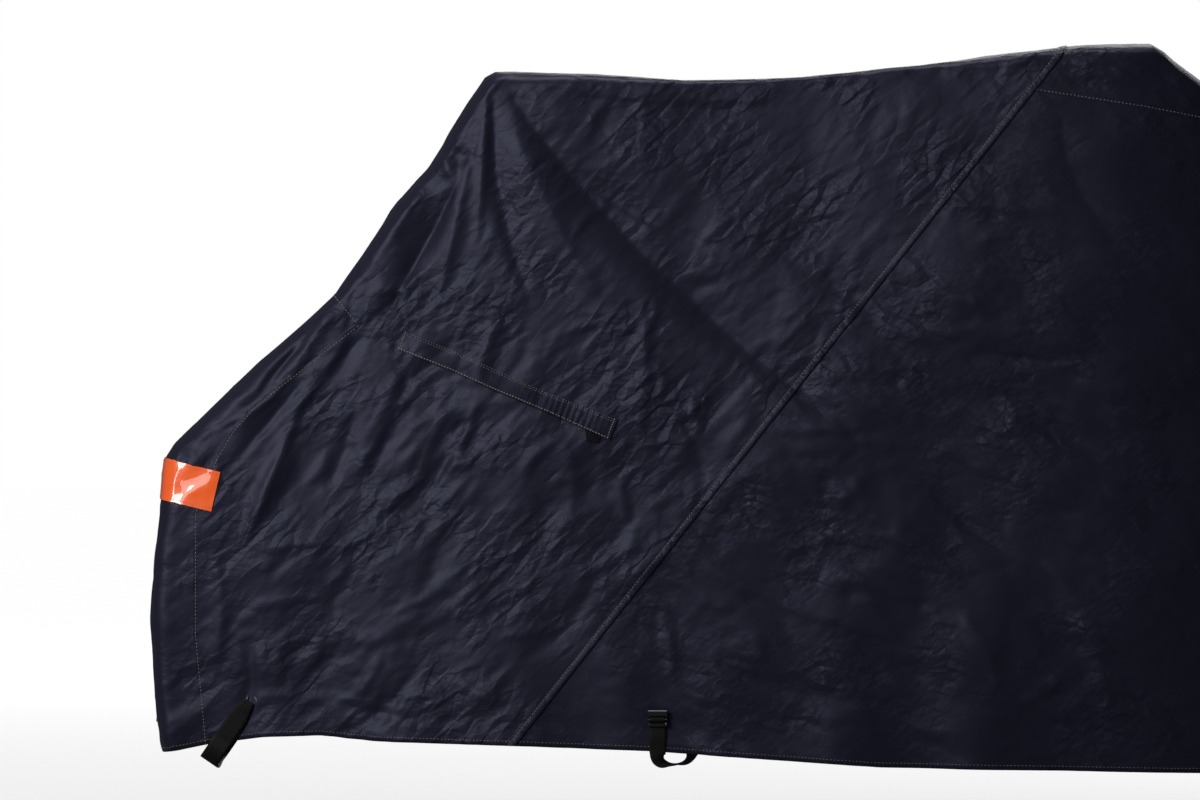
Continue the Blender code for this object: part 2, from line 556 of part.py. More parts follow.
eyelet_strip = panels()
diagonal_seam()
sewn_on()
eyelet(eyelet_strip)
rear_strap()
belly_strap()
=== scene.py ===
"""The looks of a fitted bicycle cover in crumpled navy nylon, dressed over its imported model.

Metres, +Z up. X runs along the cover from its low rear end, and the near side faces -Y. The tables
give x from the middle of the length and z from the ground, as the part's own source does.
"""

import math

import bmesh
import bpy
import numpy as np
from mathutils import Matrix, Vector, noise
from mathutils.bvhtree import BVHTree


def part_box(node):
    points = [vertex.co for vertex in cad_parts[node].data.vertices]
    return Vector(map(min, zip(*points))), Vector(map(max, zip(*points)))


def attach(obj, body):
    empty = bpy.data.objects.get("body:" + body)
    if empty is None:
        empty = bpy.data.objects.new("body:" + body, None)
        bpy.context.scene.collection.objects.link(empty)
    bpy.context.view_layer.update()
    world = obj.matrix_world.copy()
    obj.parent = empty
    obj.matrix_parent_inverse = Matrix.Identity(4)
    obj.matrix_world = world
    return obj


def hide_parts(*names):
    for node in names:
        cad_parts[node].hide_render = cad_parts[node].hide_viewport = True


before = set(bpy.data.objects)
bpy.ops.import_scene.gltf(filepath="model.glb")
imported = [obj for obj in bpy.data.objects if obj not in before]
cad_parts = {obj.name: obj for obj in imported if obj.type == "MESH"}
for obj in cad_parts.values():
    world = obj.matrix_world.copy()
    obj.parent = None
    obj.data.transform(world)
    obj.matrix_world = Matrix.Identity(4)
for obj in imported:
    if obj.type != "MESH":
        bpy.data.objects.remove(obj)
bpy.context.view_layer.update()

# The studio. The camera stands level, seven metres off, and looks straight at the near side. A pale
# floor lies under the cover, and a large soft light stands at the upper left, as in the photograph.
GROUND = -1.020  # the floor, below the underside of the top
CAMERA_X, CAMERA_HEIGHT, CAMERA_OFF = -0.4018, 0.5873, 7.0
FRAME_WIDTH = 1.5355  # what the picture shows across, at the middle plane

scene = bpy.context.scene
camera = bpy.data.objects.new("camera", bpy.data.cameras.new("camera"))
camera.location = (CAMERA_X, -CAMERA_OFF, CAMERA_HEIGHT + GROUND)
camera.rotation_euler = (math.pi / 2, 0, 0)
camera.data.sensor_width = 36
camera.data.lens = 36 * CAMERA_OFF / FRAME_WIDTH
scene.collection.objects.link(camera)
scene.camera = camera


def soft_light(name, place, aim, size, power, tall=None):
    lamp = bpy.data.lights.new(name, "AREA")
    lamp.shape, lamp.size, lamp.energy = "DISK", size, power
    if tall:
        lamp.shape, lamp.size_y = "RECTANGLE", tall
    obj = bpy.data.objects.new(name, lamp)
    obj.location = place
    obj.rotation_euler = (Vector(aim) - Vector(place)).to_track_quat("-Z", "Y").to_euler()
    scene.collection.objects.link(obj)


soft_light("key_light", (-2.7, -2.0, 0.7), (-0.8, 0, -0.35), 1.6, 34)
soft_light("top_light", (-0.5, 0.2, 2.3), (-0.4, 0, -0.2), 1.6, 24)
soft_light("strip_light", (-3.45, -2.04, -0.35), (-0.93, -0.05, -0.53), 0.14, 4, tall=1.3)
soft_light("fill_light", (-4.0, -5.2, 1.5), (-0.5, 0, -0.4), 3.0, 34)
soft_light("far_light", (2.4, 2.6, 0.7), (0.3, 0, -0.35), 1.6, 42)
soft_light("far_fill_light", (0.6, 6.0, 1.5), (0, 0, -0.4), 3.0, 60)
scene.view_settings.view_transform = "Standard"

world = bpy.data.worlds.new("studio")
world.use_nodes = True
scene.world = world
nodes, links = world.node_tree.nodes, world.node_tree.links
seen, room, pick = (nodes.new("ShaderNode" + n) for n in ("Background", "LightPath", "MixShader"))
lit = nodes["Background"]
lit.inputs["Color"].default_value = (0.93, 0.96, 1, 1)
lit.inputs["Strength"].default_value = 0.07
seen.inputs["Strength"].default_value = 1.0
seen.inputs["Color"].default_value = (1, 1, 1, 1)
links.new(room.outputs["Is Camera Ray"], pick.inputs[0])
links.new(lit.outputs[0], pick.inputs[1])
links.new(seen.outputs[0], pick.inputs[2])
links.new(pick.outputs[0], nodes["World Output"].inputs["Surface"])


class Socket:
    """An output of a shader node, on which Python's own operators write Math nodes."""

    def __init__(self, finish, output):
        self.finish, self.output = finish, output

    def math(self, operation, first, second):
        return self.finish.node("Math", {"operation": operation}, {0: first, 1: second})

    def __add__(self, other):
        return self.math("ADD", self, other)

    def __sub__(self, other):
        return self.math("SUBTRACT", self, other)

    def __rsub__(self, other):
        return self.math("SUBTRACT", other, self)

    def __mul__(self, other):
        return self.math("MULTIPLY", self, other)

    def __pow__(self, other):
        return self.math("POWER", self, other)

    __radd__, __rmul__ = __add__, __mul__


class Finish:
    """A material on one Principled shader. Constants are set on the shader's own sockets."""

    def __init__(self, name, **constants):
        self.material = bpy.data.materials.new(name)
        self.material.use_nodes = True
        self.tree = self.material.node_tree
        self.shader = self.tree.nodes["Principled BSDF"]
        for constant, value in constants.items():
            label = constant.replace("_", " ").title().replace("Ior", "IOR")
            self.shader.inputs[label].default_value = value

    def node(self, kind, settings, sockets, output=0):
        """An output of a new node: its settings first, then the values or links of its sockets."""
        node = self.tree.nodes.new("ShaderNode" + kind)
        for name, value in settings.items():
            setattr(node, name, value)
        for name, value in sockets.items():
            self.set(node.inputs[name], value)
        return Socket(self, node.outputs[output])

    def set(self, socket, value):
        if isinstance(value, Socket):
            self.tree.links.new(value.output, socket)
        else:
            socket.default_value = value

    def feed(self, name, value):
        self.set(self.shader.inputs[name], value)

    def between(self, share, first, second):
        """A colour between two, by share."""
        return self.node("Mix", {"data_type": "RGBA"}, {0: share, 6: first, 7: second}, 2)

    def object_place(self):
        return self.node("TexCoord", {}, {}, 3)

    def emboss(self, height):
        """Relief too fine for the mesh, its height in metres."""
        bump = self.node("Bump", {}, {"Strength": 1.0, "Distance": 1.0, "Height": height})
        self.feed("Normal", bump)


# The floor's own glow is white far off and greyer near the cover, a painted shade round it.
FLOOR_PAINTED_SHADE, FLOOR_WHITE, FLOOR_FADE = (0.62, 0.62, 0.63, 1), (1, 1, 1, 1), 5.0
floor_finish = Finish(
    "pale_floor", roughness=0.9, base_color=(0.25, 0.25, 0.25, 1), emission_strength=0.97
)
scaled = {"Vector": floor_finish.object_place(), "Scale": [1 / FLOOR_FADE] * 3}
spread = floor_finish.node("Mapping", {}, scaled)
share = floor_finish.node("TexGradient", {"gradient_type": "SPHERICAL"}, {"Vector": spread})
floor_finish.feed("Emission Color", floor_finish.between(share, FLOOR_WHITE, FLOOR_PAINTED_SHADE))
bm = bmesh.new()
bmesh.ops.create_circle(bm, cap_ends=True, segments=96, radius=30)
floor_mesh = bpy.data.meshes.new("floor")
bm.to_mesh(floor_mesh)
bm.free()
floor = bpy.data.objects.new("floor", floor_mesh)
floor.location.z = GROUND
floor_mesh.materials.append(floor_finish.material)
scene.collection.objects.link(floor)
floor.visible_diffuse = floor.visible_glossy = False  # the studio's light is all from above

# The cloth as it hangs. The cover is sewn from navy nylon that was packed small, so long folds fall
# from its peaks over a crumple of flat facets. Both sides are one grid of points, from the near hem
# over the top to the far hem, and the pieces are cut from it.
REAR_EDGE = [
    (-0.958, 0.139), (-0.964, 0.158), (-0.970, 0.208), (-0.976, 0.306), (-0.972, 0.389),
    (-0.964, 0.450), (-0.957, 0.512), (-0.945, 0.530), (-0.912, 0.562), (-0.837, 0.636),
    (-0.739, 0.722), (-0.708, 0.767), (-0.660, 0.840), (-0.621, 0.885), (-0.604, 0.912),
    (-0.596, 0.928), (-0.571, 0.968), (-0.549, 1.000), (-0.536, 1.007),
]  # fmt: skip
RIDGE = [(-0.536, 1.007), (-0.407, 1.008), (-0.297, 1.003), (-0.199, 1.005), (-0.066, 1.014),
         (0.103, 1.029), (0.190, 1.036), (0.287, 1.037)]  # fmt: skip
FRONT_EDGE = [
    (0.965, 0.118), (0.972, 0.200), (0.974, 0.330), (0.967, 0.450), (0.945, 0.512),
    (0.900, 0.560), (0.760, 0.678), (0.560, 0.838), (0.420, 0.942), (0.348, 0.992),
    (0.317, 1.015), (0.304, 1.027), (0.287, 1.037),
]  # fmt: skip
HEM = [
    (-0.958, 0.139), (-0.900, 0.152), (-0.829, 0.162), (-0.755, 0.165), (-0.680, 0.158),
    (-0.504, 0.154), (-0.341, 0.149), (-0.055, 0.131), (0.246, 0.127), (0.600, 0.122),
    (0.965, 0.118),
]  # fmt: skip
# (x, half the width at the hem, half the width at the top)
HALF_WIDTHS = [
    (-0.98, 0.060, 0.052), (-0.90, 0.078, 0.056), (-0.75, 0.108, 0.062), (-0.62, 0.130, 0.072),
    (-0.53, 0.146, 0.098), (-0.38, 0.164, 0.118), (-0.18, 0.190, 0.152), (0.02, 0.214, 0.196),
    (0.20, 0.232, 0.240), (0.31, 0.238, 0.254), (0.45, 0.224, 0.205), (0.65, 0.178, 0.125),
    (0.85, 0.112, 0.075), (0.98, 0.062, 0.055),
]  # fmt: skip
SHOULDER, ROUNDNESS = 0.022, 2.4  # of the turn over the ridge and round the ends
HEM_WAVE, HEM_WAVE_LENGTH, HEM_WAVE_HEIGHT = 0.022, 0.12, 0.16  # how far, how long, how high up
SAG, SAG_MIDDLE, SAG_HALF_LENGTH = 0.014, -0.15, 0.36  # of the ridge between its peaks

# Folds in side view, in millimetres: a bow from (x, z) past (x, z) to (x, z), how far it reaches to
# the left and to the right of the way it runs, and its depth, which is above 0 for a ridge
NEAR_FOLDS = [
    # those that fall from the rear peak
    (-518, 977, -339, 760, -77, 537, 119, 42, -11),
    (-432, 877, -352, 818, -252, 775, 50, 17, -4),
    (-470, 982, -339, 957, -165, 957, 17, 75, -4),
    (-509, 931, -470, 837, -402, 712, 50, 55, 6),
    (-537, 967, -529, 849, -489, 706, 42, 21, -6),
    (-544, 977, -547, 899, -557, 781, 16, 37, 5),
    (-564, 899, -582, 812, -609, 700, 22, 45, 6),
    (-582, 859, -627, 781, -681, 677, 22, 40, -10),
    (-602, 899, -645, 831, -704, 750, 25, 16, 4),
    # along the rear slope and round the rear end
    (-744, 706, -786, 656, -831, 597, 14, 19, -7),
    (-718, 677, -749, 622, -795, 565, 14, 30, 5),
    (-774, 615, -824, 556, -874, 495, 14, 22, -5),
    (-776, 592, -811, 500, -851, 406, 11, 32, 7),
    (-709, 590, -723, 531, -749, 470, 16, 21, -4),
    (-655, 627, -670, 562, -716, 482, 16, 32, 5),
    (-555, 590, -574, 537, -604, 482, 12, 27, 4),
    (-891, 393, -881, 313, -896, 220, 19, 24, 4),
    (-851, 288, -844, 225, -869, 165, 15, 25, -5),
    # the middle, beneath the vent flap
    (-349, 717, -344, 625, -354, 530, 19, 35, 3.5),
    (-452, 542, -437, 462, -479, 380, 25, 45, 3.5),
    (-397, 393, -437, 313, -507, 258, 22, 40, -2.8),
    (-302, 567, -274, 500, -289, 432, 32, 21, -2.8),
    (-781, 225, -676, 193, -557, 185, 25, 14, -2.8),
    (-559, 393, -627, 325, -706, 270, 22, 42, 2.8),
    # the front panel, in long shallow bows
    (-120, 725, -27, 672, 78, 677, 40, 24, 3.5),
    (60, 662, 110, 638, 220, 642, 32, 15, -4.2),
    (108, 572, 160, 547, 215, 524, 30, 16, -3.5),
    (8, 480, 51, 435, 123, 390, 35, 17, -4.2),
    (-157, 502, -52, 437, 53, 345, 52, 31, 4.2),
    (-32, 887, 48, 837, 178, 820, 45, 26, 3.5),
    (-207, 787, -90, 710, -22, 632, 52, 25, -3.5),
    (170, 942, 197, 837, 290, 732, 52, 37, -3.5),
    (-282, 388, -177, 335, -22, 288, 47, 25, 3.5),
    (-282, 288, -177, 225, -22, 213, 45, 22, -3.5),
    (145, 393, 210, 288, 222, 183, 47, 31, 4.2),
    (45, 329, 79, 275, 88, 220, 24, 12, 2.8),
]
# Narrow creases, whose sides are flat
NEAR_CREASES = [
    # the pinch below the rear peak
    (-603, 907, -585, 898, -556, 893, 10, 22, -4.2),
    (-605, 903, -595, 884, -583, 860, 12, 15, 5.5),
    # light facets over the rear
    (-850, 411, -816, 472, -786, 522, 25, 15, 5.5),
    (-739, 385, -699, 413, -661, 427, 19, 11, 3.5),
    (-744, 335, -731, 363, -711, 388, 16, 10, 3.1),
    (-694, 435, -656, 465, -620, 489, 20, 11, 3.9),
    (-612, 510, -587, 530, -558, 552, 20, 11, 3.9),
    (-744, 258, -711, 278, -686, 295, 17, 10, 3.1),
    (-839, 401, -796, 401, -745, 411, 14, 9, 2),
    (-848, 324, -796, 333, -741, 338, 14, 9, 2),
    (-656, 320, -639, 330, -612, 338, 14, 9, 2.3),
    (-776, 480, -754, 500, -744, 527, 16, 10, 3.1),
    (-627, 388, -602, 425, -574, 444, 19, 11, 3.1),
    (-527, 288, -489, 295, -433, 303, 14, 9, 2),
    (-658, 562, -642, 594, -614, 622, 17, 10, 3.1),
    (-502, 487, -477, 522, -439, 542, 17, 10, 3.1),
    # fine creases over the middle
    (-427, 697, -377, 692, -337, 685, 12, 7, 2),
    (-352, 656, -334, 687, -332, 725, 12, 7, 2.3),
    (-329, 575, -322, 606, -328, 633, 12, 7, 2),
    (-277, 542, -284, 572, -288, 597, 14, 9, 2.3),
    (-362, 418, -373, 462, -374, 502, 16, 10, 2.3),
    (-347, 445, -322, 462, -294, 476, 16, 10, 2.3),
    (-359, 525, -317, 535, -272, 534, 14, 9, 2),
    (-449, 667, -414, 680, -369, 675, 12, 7, 2),
    (-439, 782, -414, 820, -384, 832, 14, 9, 2.3),
    (-402, 333, -352, 373, -317, 390, 17, 10, 3.1),
    (-307, 223, -314, 288, -324, 338, 17, 10, 3.1),
    (-282, 775, -257, 800, -227, 822, 15, 9, 2.3),
    # the lower edge and the front
    (-602, 183, -726, 210, -844, 215, 14, 9, 2.3),
    (-517, 209, -554, 220, -589, 240, 15, 9, 3.1),
    (114, 207, 148, 225, 175, 254, 16, 10, 2.3),
    (86, 256, 63, 290, 48, 326, 15, 9, 2.3),
    (86, 691, 68, 705, 58, 723, 12, 7, 2.3),
    (231, 547, 190, 572, 154, 592, 14, 9, 3.1),
    (297, 447, 247, 462, 222, 487, 16, 10, 2.3),
    (-177, 388, -115, 413, -52, 403, 19, 11, 2.3),
]
FAR_FOLDS = [
    (-520, 990, -430, 830, -380, 640, 90, 40, -10),
    (-560, 950, -600, 780, -700, 600, 30, 50, 8),
    (-460, 930, -330, 780, -140, 650, 60, 50, 8),
    (-720, 620, -790, 480, -850, 330, 30, 45, 7),
    (-640, 520, -600, 380, -500, 240, 55, 35, -7),
    (-300, 560, -320, 420, -260, 260, 50, 30, 6),
    (-100, 880, 20, 760, 180, 690, 60, 30, -7),
    (-60, 520, 60, 440, 160, 300, 55, 30, -6),
    (200, 900, 360, 740, 600, 560, 60, 40, 8),
    (340, 520, 440, 400, 460, 220, 55, 35, -6),
    (640, 560, 760, 420, 880, 340, 50, 30, -6),
]
# Layers of the crumple: a facet's width, how many times longer it is along its lean, the lean in
# degrees above +X, how steep it is, and how much of its height is held back, so that calm cloth is
# left between the sharp ones. The rear and the front panel lean different ways
REAR_CRUMPLE = [
    (0.100, 2.2, 60, 0.04, 0.0),
    (0.046, 2.6, 50, 0.15, 0.22),
    (0.024, 2.4, 32, 0.17, 0.25),
    (0.015, 1.8, -25, 0.10, 0.25),
]
FRONT_CRUMPLE = [
    (0.130, 2.4, -38, 0.04, 0.0),
    (0.060, 2.8, -30, 0.09, 0.22),
    (0.028, 2.6, -14, 0.14, 0.25),
    (0.016, 2.0, 40, 0.09, 0.25),
]
CRUMPLE_BEND, CRUMPLE_PATCHES = 0.35, 0.17  # how far facets bend, and the size of its calm parts
CRUMPLE_BLEND = 0.12  # over which the rear panel's crumple passes into the front one's
# Where the cloth is pulled smoother: (x, z, reach along, reach up, how much smoother)
CALM = [
    (-0.20, 0.88, 0.24, 0.14, 0.75), (0.18, 0.93, 0.16, 0.08, 0.5), (-0.50, 0.88, 0.10, 0.12, 0.6),
]  # fmt: skip
DIAGONAL_SEAM = [(-0.570, 0.083), (0.260, 1.133)]  # from below the hem to above the ridge
noise.seed_set(1)  # else noise_vector starts from the clock, and the facets differ in every run


def walked(points):
    """How far along its line each point is."""
    return np.concatenate([[0], np.cumsum(np.linalg.norm(np.diff(points, axis=0), axis=1))])


def at_lengths(lengths, far, values):
    """The values at these lengths along a line, from those at its points, which are this far."""
    return np.stack([np.interp(lengths, far, column) for column in values.T], axis=-1)


def along(points, share):
    """The point at that share of a line's length."""
    line, far = np.array(points), walked(points)
    return at_lengths(np.asarray(share) * far[-1], far, line)


def side_view(across, up):
    """Where the cloth lies in side view: across runs from the rear edge, 0, to the front edge, 1,
    and up from the hem, 0, to the ridge, 1."""
    a, b = across[..., None], up[..., None]
    rear, front = along(REAR_EDGE, up), along(FRONT_EDGE, up)
    hem, top = along(HEM, across), along(RIDGE, across)
    corners = (1 - a) * ((1 - b) * HEM[0] + b * RIDGE[0]) + a * ((1 - b) * HEM[-1] + b * RIDGE[-1])
    return (1 - b) * hem + b * top + (1 - a) * rear + a * front - corners


def distance(places, line):
    """How far each place is from a line of points, the share of the line where it is nearest, and 1
    where it is to the left of the way the line runs, or else -1."""
    line = np.array(line)
    best, share, side = np.full(len(places), np.inf), np.zeros(len(places)), np.ones(len(places))
    for i, (start, end) in enumerate(zip(line[:-1], line[1:])):
        run, off = end - start, places - start
        t = np.clip(off @ run / (run @ run), 0, 1)
        far = np.linalg.norm(off - t[:, None] * run, axis=1)
        nearer = far < best
        share[nearer] = (i + t[nearer]) / (len(line) - 1)
        side[nearer] = np.sign(off[nearer] @ (-run[1], run[0]))
        best = np.minimum(far, best)
    return best, share, side


def turn_over(places):
    """0 on the cover's outline in side view, rising to 1 where the cloth hangs down its sides."""
    outline = REAR_EDGE + RIDGE[1:] + FRONT_EDGE[-2::-1]
    return np.clip(distance(places, outline)[0] / SHOULDER, 0, 1)


def half_width(places):
    """Half the cover's width at places in side view, before its folds."""
    x, at_hem, at_top = np.array(HALF_WIDTHS).T
    hem_z = np.interp(places[:, 0], *np.array(HEM).T)
    rear_slope, front_slope = REAR_EDGE[7:], FRONT_EDGE[-2:4:-1]
    crown_z = np.interp(places[:, 0], *np.array(rear_slope + RIDGE[1:] + front_slope).T)
    height = np.clip((places[:, 1] - hem_z) / (crown_z - hem_z), 0, 1)
    spread = np.linspace(-0.07, 0.07, 7)  # rounds the table's corners off
    flare, top = (
        sum(np.interp(places[:, 0] + d, x, wide) for d in spread) / len(spread)
        for wide in (at_hem, at_top)
    )
    return flare * (1 - height) + top * height


def even_steps(lines, count):
    """Each line of points laid out again in count equal steps along its length."""
    return np.array([along(line, np.linspace(0, 1, count + 1)) for line in lines])


def hanging_form(columns, rows):
    """The points of both sides before any fold, as columns + 1 lines of 2 * rows + 1 points."""
    a, b = np.meshgrid(np.linspace(0, 1, 2 * columns), np.linspace(0, 1, 2 * rows), indexing="ij")
    places = side_view(a**2 * (3 - 2 * a), 1 - (1 - b) ** 3).reshape(-1, 2)
    turn = turn_over(places)
    out = half_width(places) * (1 - (1 - turn) ** ROUNDNESS) ** (1 / ROUNDNESS)
    near = np.stack([places[:, 0], -out, places[:, 1] + GROUND], axis=-1).reshape(*a.shape, 3)
    near = even_steps(even_steps(near, rows).transpose(1, 0, 2), columns).transpose(1, 0, 2)
    return np.concatenate([near, near[:, -2::-1] * (1, -1, 1)], axis=1)


def outward(grid):
    """The unit normal at each point of the grid, away from the inside of the cover."""
    normal = np.cross(np.gradient(grid, axis=0), np.gradient(grid, axis=1))
    normal[[0, -1], :, 1] = 0
    return normal / np.maximum(np.linalg.norm(normal, axis=2, keepdims=True), 1e-12)


def fold_relief(places, folds, curve):
    """How far the folds push the cloth out at each place. Each is sharp on its line and pointed at
    its ends. curve is 1 for flat sides, and more for sides that ease out into the cloth."""
    relief = np.zeros(len(places))
    t = np.linspace(0, 1, 13)[:, None]
    for *bends, left, right, depth in np.array(folds) / 1000:
        start, middle, end = np.reshape(bends, (3, 2))
        bow = (1 - t) ** 2 * start + 2 * t * (1 - t) * (2 * middle - (start + end) / 2) + t**2 * end
        reach = max(left, right)
        near = ((places > bow.min(axis=0) - reach) & (places < bow.max(axis=0) + reach)).all(axis=1)
        near = np.flatnonzero(near)
        off, share, side = distance(places[near], bow)
        fade = np.sin(math.pi * share) ** 0.7
        width = np.where(side > 0, left, right) * np.maximum(fade, 0.1)
        relief[near] += depth * fade * np.clip(1 - off / width, 0, 1) ** curve
    return relief


def soft_crumple(points):
    """The soft unevenness of nylon that was packed small, as in the part's solids."""
    layers = ((0.26, 0.008), (0.11, 0.004), (0.055, 0.0015))  # each layer's size and height
    return sum(
        high * np.array([noise.noise(Vector(p)) for p in points / wide]) for wide, high in layers
    )


def facets(points, layers):
    """Flat facets with sharp ridges and valleys between them. Each set is the difference of two
    sets of squared distances to scattered points, which is flat inside each facet."""
    apart = Vector((31.4, 17.2, 5.1))
    relief = np.zeros(len(points))
    for size, stretch, degrees, steep, calm in layers:
        lean = math.radians(degrees)
        x = (points[:, 0] * math.cos(lean) + points[:, 2] * math.sin(lean)) / stretch
        z = points[:, 2] * math.cos(lean) - points[:, 0] * math.sin(lean)
        stretched = np.stack([x, points[:, 1], z], axis=-1) / size
        for i, p in enumerate(stretched):
            p = Vector(p)
            p += CRUMPLE_BEND * noise.noise_vector(0.8 * p)
            ridge = noise.voronoi(p, distance_metric="DISTANCE_SQUARED")[0][0]
            valley = noise.voronoi(p + apart, distance_metric="DISTANCE_SQUARED")[0][0]
            rise = valley - ridge
            relief[i] += math.copysign(max(abs(rise) - calm, 0), rise) * size * steep
    return relief


def flat_grid(bm, columns, rows):
    """The points of a new grid of faces, each with its column and its row."""
    for vert in bmesh.ops.create_grid(bm, x_segments=columns, y_segments=rows, size=0.5)["verts"]:
        yield vert, round((vert.co.x + 0.5) * columns), round((vert.co.y + 0.5) * rows)


def crumpled_cloth(columns, rows):
    """The whole cover as one bmesh, from the near hem over the top to the far hem."""
    grid = hanging_form(columns, rows)
    points = grid.reshape(-1, 3)
    places = points[:, [0, 2]] - (0, GROUND)
    turn = turn_over(places)
    ease = turn**2
    near_folds = fold_relief(places, NEAR_FOLDS, 1.8) + fold_relief(places, NEAR_CREASES, 1.1)
    folds = np.where(points[:, 1] > 0, fold_relief(places, FAR_FOLDS, 1.8), near_folds)
    above_hem = places[:, 1] - np.interp(places[:, 0], *np.array(HEM).T)
    waves = HEM_WAVE * np.exp(-above_hem / HEM_WAVE_HEIGHT)
    ripple = waves * [noise.noise(Vector((x / HEM_WAVE_LENGTH, y, 3))) for x, y, z in points]
    from_sag = np.clip(np.abs(places[:, 0] - SAG_MIDDLE) / SAG_HALF_LENGTH, 0, 1)
    dips = SAG * (1 - turn) ** 2 * (1 - from_sag**2)
    crumple = soft_crumple(points)

    seam = np.array(DIAGONAL_SEAM)
    run = (seam[1] - seam[0]) / np.linalg.norm(seam[1] - seam[0])
    ahead = (places - seam[0]) @ (run[1], -run[0])
    front = np.clip(ahead / CRUMPLE_BLEND + 0.5, 0, 1)
    fine = np.zeros(len(points))
    for share, layers in ((1 - front, REAR_CRUMPLE), (front, FRONT_CRUMPLE)):
        used = np.flatnonzero(share)
        fine[used] += share[used] * facets(points[used], layers)
    patches = [noise.noise(Vector(p) / CRUMPLE_PATCHES) + 0.5 for p in points]
    fine *= 0.55 + 0.9 * np.clip(patches, 0, 1)
    for x, z, reach_x, reach_z, smoother in CALM:
        off = ((places[:, 0] - x) / reach_x) ** 2 + ((places[:, 1] - z) / reach_z) ** 2
        fine *= 1 - smoother * np.exp(-off)

    relief = ease * (folds + ripple) + (0.4 + 0.6 * ease) * (crumple + fine) - dips
    grid += outward(grid) * relief.reshape(*grid.shape[:2], 1)
    middle = grid[1:-1, 1:-1]
    around = grid[2:, 1:-1] + grid[:-2, 1:-1] + grid[1:-1, 2:] + grid[1:-1, :-2]
    middle += 0.1 * (around / 4 - middle)

    bm = bmesh.new()
    ends = []
    for vert, i, j in flat_grid(bm, columns, 2 * rows):
        vert.co = grid[i, j]
        if i in (0, columns):
            ends.append(vert)
    bmesh.ops.remove_doubles(bm, verts=ends, dist=0.0001)
    for edge in bm.edges:
        edge.seam = edge.is_boundary  # marks the hem
    bm.normal_update()
    return bm


# The rear panel. One piece of the nylon over the ridge, with its hem turned in on both sides. Like
# every panel, it is cut from the hanging cloth along its seams, so its edges meet the next one's.
YOKE_SEAM = [(0.131, 0.970), (0.266, 0.948), (0.341, 0.934), (0.600, 0.890)]
GUSSET_SEAM = [
    (-0.898, 0.080), (-0.904, 0.153), (-0.917, 0.290), (-0.917, 0.444), (-0.891, 0.510),
    (-0.870, 0.547), (-0.842, 0.578), (-0.803, 0.610), (-0.711, 0.682), (-0.780, 0.763),
]  # fmt: skip
STRIP_TOP = [(-0.909, 0.208), (-1.000, 0.208)]
PATCH = [(-1.020, 0.529), (-0.883, 0.496), (-0.894, 0.446), (-1.020, 0.475)]
CLEAR = 1.2  # outside the cover on any side
HEM_FOLD, HEM_TURN = 0.0016, 0.009  # how thick the turned hem is, and how far up inside it goes


def inside(places, corners):
    """Whether each place in side view is inside the outline."""
    x, z = places.T
    within = np.zeros(len(places), bool)
    for (ax, az), (bx, bz) in zip(corners, corners[1:] + corners[:1]):
        if az != bz:
            within ^= ((az > z) != (bz > z)) & (x < ax + (z - az) * (bx - ax) / (bz - az))
    return within


def face_places(bm):
    """Where the middle of each face lies in side view."""
    return np.array([(c.x, c.z - GROUND) for c in (f.calc_center_median() for f in bm.faces)])


def cut_along(bm, line):
    """Cuts the cloth along a line in side view, on both sides, and leaves it joined."""
    for start, end in zip(line, line[1:]):
        places = face_places(bm)
        a, run = np.array(start), np.subtract(end, start)
        length = np.linalg.norm(run)
        run /= length
        ahead, off = (places - a) @ run, (places - a) @ (run[1], -run[0])
        near = (np.abs(off) < 0.02) & (ahead > -0.008) & (ahead < length + 0.008)
        faces = [f for f, cut in zip(bm.faces, near) if cut]
        edges, verts = {e for f in faces for e in f.edges}, {v for f in faces for v in f.verts}
        at, across = Vector((start[0], 0, start[1] + GROUND)), Vector((run[1], 0, -run[0]))
        bmesh.ops.bisect_plane(
            bm, geom=[*faces, *edges, *verts], dist=0.00005, plane_co=at, plane_no=across
        )


def piece(name, bm, slot, finish, *nodes, smooth=True):
    """A finished piece on the cover's one body, in place of the CAD nodes that it stands for."""
    mesh = bpy.data.meshes.new(name)
    for face in bm.faces:
        face.smooth = smooth
    bm.to_mesh(mesh)
    bm.free()
    mesh.materials.append(finish.material)
    obj = bpy.data.objects.new(name, mesh)
    scene.collection.objects.link(obj)
    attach(obj, "root")
    if nodes:
        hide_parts(*nodes)
    return obj


def push_edge(bm, edges, offset, crisp=True):
    """A new row of faces along these edges, each new point moved by offset(old point)."""
    old = {v: offset(v) for e in edges for v in e.verts}
    for edge in edges:
        edge.smooth = not crisp
    lips = bmesh.ops.extrude_edge_only(bm, edges=edges)["geom"]
    grown = {v for v in lips if isinstance(v, bmesh.types.BMVert)}
    for vert in grown:
        source = next(v for e in vert.link_edges for v in e.verts if v in old)
        vert.co += old[source]
    return [e for e in lips if isinstance(e, bmesh.types.BMEdge) and set(e.verts) <= grown]


def cut_out(corners):
    """The part of the cloth inside these corners, on both sides."""
    bm = cloth.copy()
    spare = [f for f, keep in zip(bm.faces, inside(cloth_places, corners)) if not keep]
    bmesh.ops.delete(bm, geom=spare, context="FACES")
    return bm


